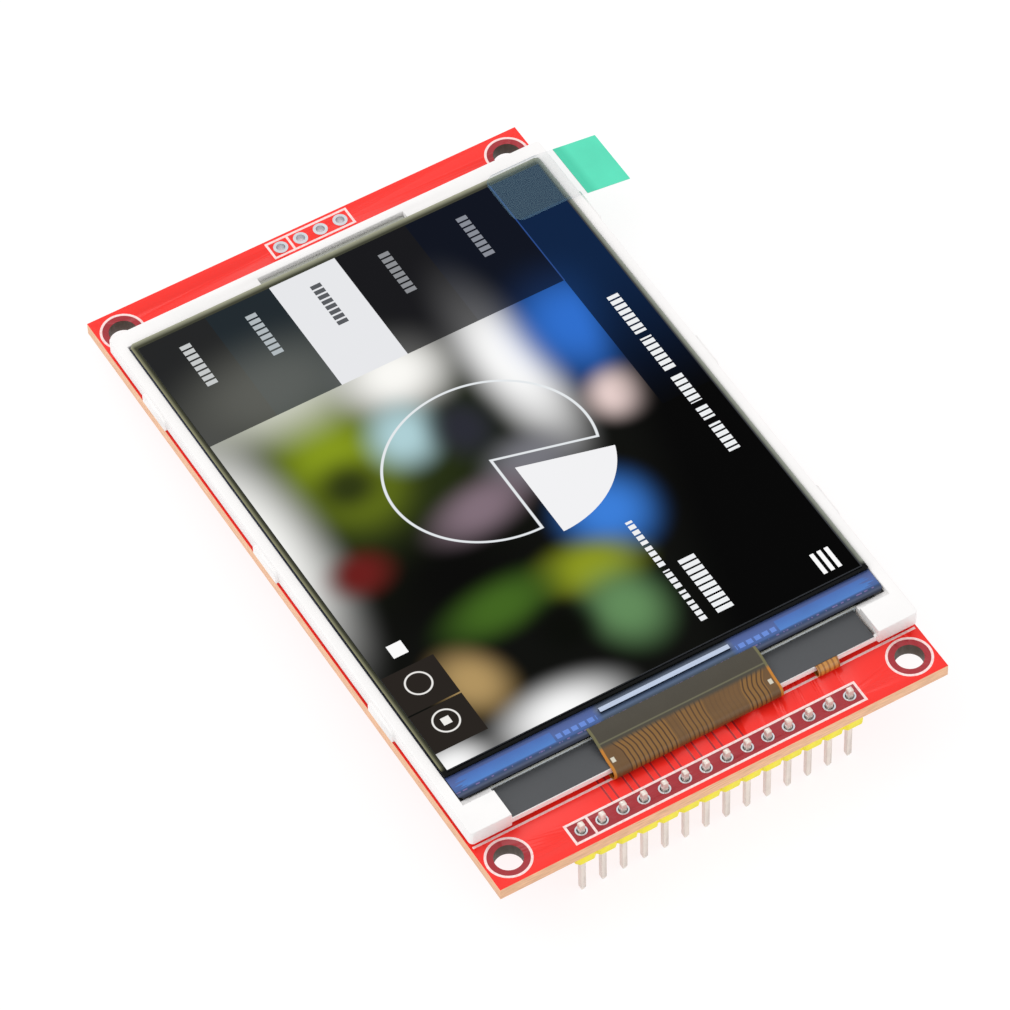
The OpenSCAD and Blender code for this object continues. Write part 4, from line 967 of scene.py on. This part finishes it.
class MODULE_OT_cable(ModuleOperator, bpy.types.Operator):
    """Shape the flexible cable from the glass, over the front wall and under the frame"""

    bl_idname = "display_module.cable"
    bl_label = "Flexible cable"

    # Millimetres that the cable's end lies on the glass, and its height over the bay's tape
    bond_depth = 0.75
    tape_gap = 0.05

    def execute(self, context):
        colours, sizes = self.looks(context)
        low, high = span("display_flex")
        bond = span("array_glass")[0].y
        # The bend's centre and radius follow from the cable's own box
        thickness = sizes.cable_thickness / MM
        wall_top = span("lamp_bay_tape")[1].z + thickness + self.tape_gap
        radius = (wall_top - low.z) / 2
        bend_y = low.y + radius
        top = high.z
        path = [(bond + self.bond_depth, top), (bond, top)]
        steps = 12
        for i in range(1, steps + 1):
            t = i / steps
            ease = t * t * (3 - 2 * t)
            path.append((bond + (bend_y - bond) * t, top + (wall_top - top) * ease))
        turns = 16
        for i in range(1, turns + 1):
            a = math.pi * i / turns
            path.append((bend_y - radius * math.sin(a), low.z + radius + radius * math.cos(a)))
        path.append((high.y, low.z))
        half = (high.x - low.x) / 2
        clear_selection()
        bpy.ops.mesh.primitive_plane_add(
            size=1.0, location=(0.0, (bond + self.bond_depth / 2) * MM, top * MM))
        cable = bpy.context.active_object
        bpy.ops.object.mode_set(mode="EDIT")
        bpy.ops.mesh.select_all(action="SELECT")
        bpy.ops.transform.resize(value=(2 * half * MM, self.bond_depth * MM, 1.0))
        bpy.ops.mesh.select_all(action="DESELECT")
        bpy.ops.object.mode_set(mode="OBJECT")
        bpy.ops.object.transform_apply(location=True, rotation=True, scale=True)
        for vertex in cable.data.vertices:
            vertex.select = False
        for edge in cable.data.edges:
            ends = [cable.data.vertices[v].co.y for v in edge.vertices]
            edge.select = all(y < (bond + 0.1) * MM for y in ends)
        bpy.ops.object.mode_set(mode="EDIT")
        bpy.ops.mesh.select_mode(type="EDGE")
        for (y0, z0), (y1, z1) in zip(path[1:], path[2:]):
            bpy.ops.mesh.extrude_region_move(
                TRANSFORM_OT_translate={"value": (0.0, (y1 - y0) * MM, (z1 - z0) * MM)})
        bpy.ops.mesh.select_mode(type="VERT")
        bpy.ops.object.mode_set(mode="OBJECT")
        self.unroll(cable, path)
        apply_modifier(cable, "SOLIDIFY", thickness=sizes.cable_thickness, offset=-1.0)
        bpy.ops.object.shade_smooth_by_angle(angle=math.radians(30))
        cable.name = "display_cable"
        dress(cable, cable_material(colours))
        hand_over(cable, "display_flex")
        return {"FINISHED"}

    @staticmethod
    def unroll(cable, path):
        """Lays the cable out flat in a UV map in millimetres: X across it and Y along it."""
        along = [0.0]
        for (y0, z0), (y1, z1) in zip(path, path[1:]):
            along.append(along[-1] + math.hypot(y1 - y0, z1 - z0))
        while cable.data.uv_layers:
            cable.data.uv_layers.remove(cable.data.uv_layers[0])
        layer = cable.data.uv_layers.new(name="along")
        for loop in cable.data.loops:
            place = cable.data.vertices[loop.vertex_index].co / MM
            nearest = min(range(len(path)),
                          key=lambda i: (path[i][0] - place.y) ** 2 + (path[i][1] - place.z) ** 2)
            layer.data[loop.index].uv = (place.x, along[nearest])


class MODULE_OT_tab(ModuleOperator, bpy.types.Operator):
    """Finish the pull tab's clear strip and its green grip"""

    bl_idname = "display_module.tab"
    bl_label = "Pull tab"

    # Millimetres of air between the clear strip and the screen
    film_gap = 0.006

    def execute(self, context):
        colours, _ = self.looks(context)
        strip = finished_copy("pull_tab_strip", "tab_strip", clear_film_material(), 0.0)
        # A hair of air under the clear film keeps it apart from the screen
        strip.data.transform(Matrix.Translation((0.0, 0.0, self.film_gap * MM)))
        finished_copy("pull_tab_grip", "tab_grip", tab_material(colours), 0.0)
        return {"FINISHED"}


class MODULE_OT_socket(ModuleOperator, bpy.types.Operator):
    """Finish the memory card socket's shell, body and contacts"""

    bl_idname = "display_module.socket"
    bl_label = "Card socket"

    def execute(self, context):
        _, sizes = self.looks(context)
        steel = metal_material("stamped_stainless_steel", linear("#C9CCD0"), 0.25, 0.42, 0.6, 0.003)
        finished_copy("socket_shell", "card_socket_shell", steel, sizes.metal_edge)
        black = plastic_material("black_nylon", linear("#26272A"), 0.4, 0.55, 0.2, 0.006, 0.08)
        finished_copy("socket_body", "card_socket_body", black, sizes.package_edge, 1)
        gold = metal_material("gold_plated_spring", linear("#DDBE72"), 0.2, 0.35)
        finished_copy("socket_contacts", "card_socket_contacts", gold, sizes.glass_edge, 1)
        return {"FINISHED"}


class MODULE_OT_small_parts(ModuleOperator, bpy.types.Operator):
    """Finish the packages, resistors and capacitors under the board"""

    bl_idname = "display_module.small_parts"
    bl_label = "Small parts"

    def execute(self, context):
        _, sizes = self.looks(context)
        epoxy = plastic_material("moulded_epoxy", linear("#242427"), 0.6, 0.75, 0.12, 0.01, 0.1)
        finished_copy("voltage_regulator", "regulator_package", epoxy, sizes.package_edge)
        finished_copy("lamp_transistor", "transistor_package", epoxy, sizes.package_edge)
        tin = metal_material("matt_tin", linear("#CDD1D4"), 0.35, 0.5, 0.2, 0.006)
        finished_copy("package_leads", "tinned_leads", tin, sizes.film_edge, 1)
        for kind in ("resistor", "capacitor"):
            finished_copy(f"{kind}_ends", f"{kind}_end_caps", tin, sizes.package_edge)
        glaze = plastic_material("black_glass_glaze", linear("#1C1D20"), 0.2, 0.3, 0.3, 0.004, 0.1)
        finished_copy("resistor_bodies", "resistor_chips", glaze, sizes.film_edge, 1)
        clay = plastic_material("fired_titanate", linear("#B58C62"), 0.5, 0.6, 0.1, 0.006, 0.08)
        finished_copy("capacitor_bodies", "capacitor_chips", clay, sizes.package_edge)
        return {"FINISHED"}


class MODULE_OT_stage(ModuleOperator, bpy.types.Operator):
    """Set the floor, the lamps, the sky and the camera"""

    bl_idname = "display_module.stage"
    bl_label = "Stage"

    # The camera's place in millimetres and its turn in degrees
    camera_place = (-209.177, -372.884, 541.911)
    camera_turn = (38.2118, 1.2114, -30.7820)
    # Metres that the floor measures each way
    floor_size = 6.0
    # How strongly the floor glows on things, and as it is seen
    floor_glow = (0.75, 0.84)

    def execute(self, context):
        stage = context.scene.module_stage
        self.lay_floor(stage)
        self.hang_lamps(stage)
        self.light_sky(stage)
        self.set_camera(stage)
        return {"FINISHED"}

    def lay_floor(self, stage):
        """The module stands on its pin tips and on the far edge of its card socket."""
        tips = span("header_pins")
        shell = span("socket_shell")
        near = Vector((0.0, (tips[0].y + tips[1].y) / 2, tips[0].z))
        far = Vector((0.0, shell[1].y, shell[0].z))
        slope = math.atan2(far.z - near.z, far.y - near.y)
        clear_selection()
        bpy.ops.mesh.primitive_plane_add(
            size=self.floor_size, location=near * MM, rotation=(slope, 0.0, 0.0))
        floor = bpy.context.active_object
        floor.name = "studio_floor"
        material, tree, shader = new_material("pale_paper_floor", Roughness=0.9, Specular_IOR_Level=0.1)
        place = millimetres(tree)
        tree.links.new(mottle(tree, place, rgba(stage.floor_colour), 60.0, 0.004),
                       shader.inputs["Base Color"])
        # Camera, gloss and glass see the floor a little lighter than it is lit
        lift = node(tree, "MapRange", {
            0: seen_directly(tree), 3: self.floor_glow[0], 4: self.floor_glow[1]}).outputs[0]
        material.cycles.emission_sampling = "NONE"
        shader.inputs["Emission Color"].default_value = (1.0, 1.0, 1.0, 1.0)
        tree.links.new(lift, shader.inputs["Emission Strength"])
        dress(floor, material)

    def hang_lamps(self, stage):
        """A large lamp over the far left of the module and a weak one before it."""
        for name, power, size, place in (
                ("key_lamp", stage.key_power, 0.8, (-0.45, 0.35, 0.85)),
                ("fill_lamp", stage.fill_power, 0.6, (0.5, -0.8, 0.5))):
            lamp = bpy.data.lights.new(name, "AREA")
            lamp.energy = power
            lamp.size = size
            holder = bpy.data.objects.new(name, lamp)
            holder.location = place
            holder.rotation_euler = Vector(place).to_track_quat("Z", "Y").to_euler()
            bpy.context.scene.collection.objects.link(holder)

    def light_sky(self, stage):
        """An even sky that the camera, gloss and glass see as white."""
        world = bpy.data.worlds.new("studio_sky")
        bpy.context.scene.world = world
        world.use_nodes = True
        tree = world.node_tree
        strength = node(tree, "MapRange", {
            0: seen_directly(tree), 3: stage.sky_strength, 4: 1.0}).outputs[0]
        tree.links.new(strength, tree.nodes["Background"].inputs["Strength"])
        tree.nodes["Background"].inputs["Color"].default_value = (1.0, 1.0, 1.0, 1.0)

    def set_camera(self, stage):
        lens = bpy.data.cameras.new("module_camera")
        lens.lens = stage.lens
        lens.sensor_width = 36.0
        lens.clip_start = 0.01
        lens.clip_end = 20.0
        camera = bpy.data.objects.new("module_camera", lens)
        camera.location = Vector(self.camera_place) * MM
        camera.rotation_euler = Euler([math.radians(a) for a in self.camera_turn])
        bpy.context.scene.collection.objects.link(camera)
        bpy.context.scene.camera = camera
        bpy.context.scene.view_settings.view_transform = "Standard"


OPERATORS = (
    MODULE_OT_board, MODULE_OT_print, MODULE_OT_plating, MODULE_OT_header, MODULE_OT_solder,
    MODULE_OT_frame, MODULE_OT_backlight, MODULE_OT_glass, MODULE_OT_screen, MODULE_OT_cable,
    MODULE_OT_tab, MODULE_OT_socket, MODULE_OT_small_parts, MODULE_OT_stage,
)


class MODULE_PT_panel(bpy.types.Panel):
    """The steps that finish the display module"""

    bl_idname = "MODULE_PT_panel"
    bl_label = "Display module"
    bl_space_type = "VIEW_3D"
    bl_region_type = "UI"
    bl_category = "Display"

    def draw(self, context):
        for operator in OPERATORS:
            self.layout.operator(operator.bl_idname)
        for group in (context.scene.module_sizes, context.scene.module_colours,
                      context.scene.module_stage):
            box = self.layout.box()
            for name in group.__annotations__:
                box.prop(group, name)


CLASSES = (ModuleSizes, ModuleColours, ModuleStage, *OPERATORS, MODULE_PT_panel)


def register():
    for cls in CLASSES:
        bpy.utils.register_class(cls)
    bpy.types.Scene.module_sizes = bpy.props.PointerProperty(type=ModuleSizes)
    bpy.types.Scene.module_colours = bpy.props.PointerProperty(type=ModuleColours)
    bpy.types.Scene.module_stage = bpy.props.PointerProperty(type=ModuleStage)


def unregister():
    del bpy.types.Scene.module_sizes
    del bpy.types.Scene.module_colours
    del bpy.types.Scene.module_stage
    for cls in reversed(CLASSES):
        bpy.utils.unregister_class(cls)


def main():
    register()
    for operator in OPERATORS:
        group, name = operator.bl_idname.split(".")
        getattr(getattr(bpy.ops, group), name)()


if __name__ == "__main__":
    main()
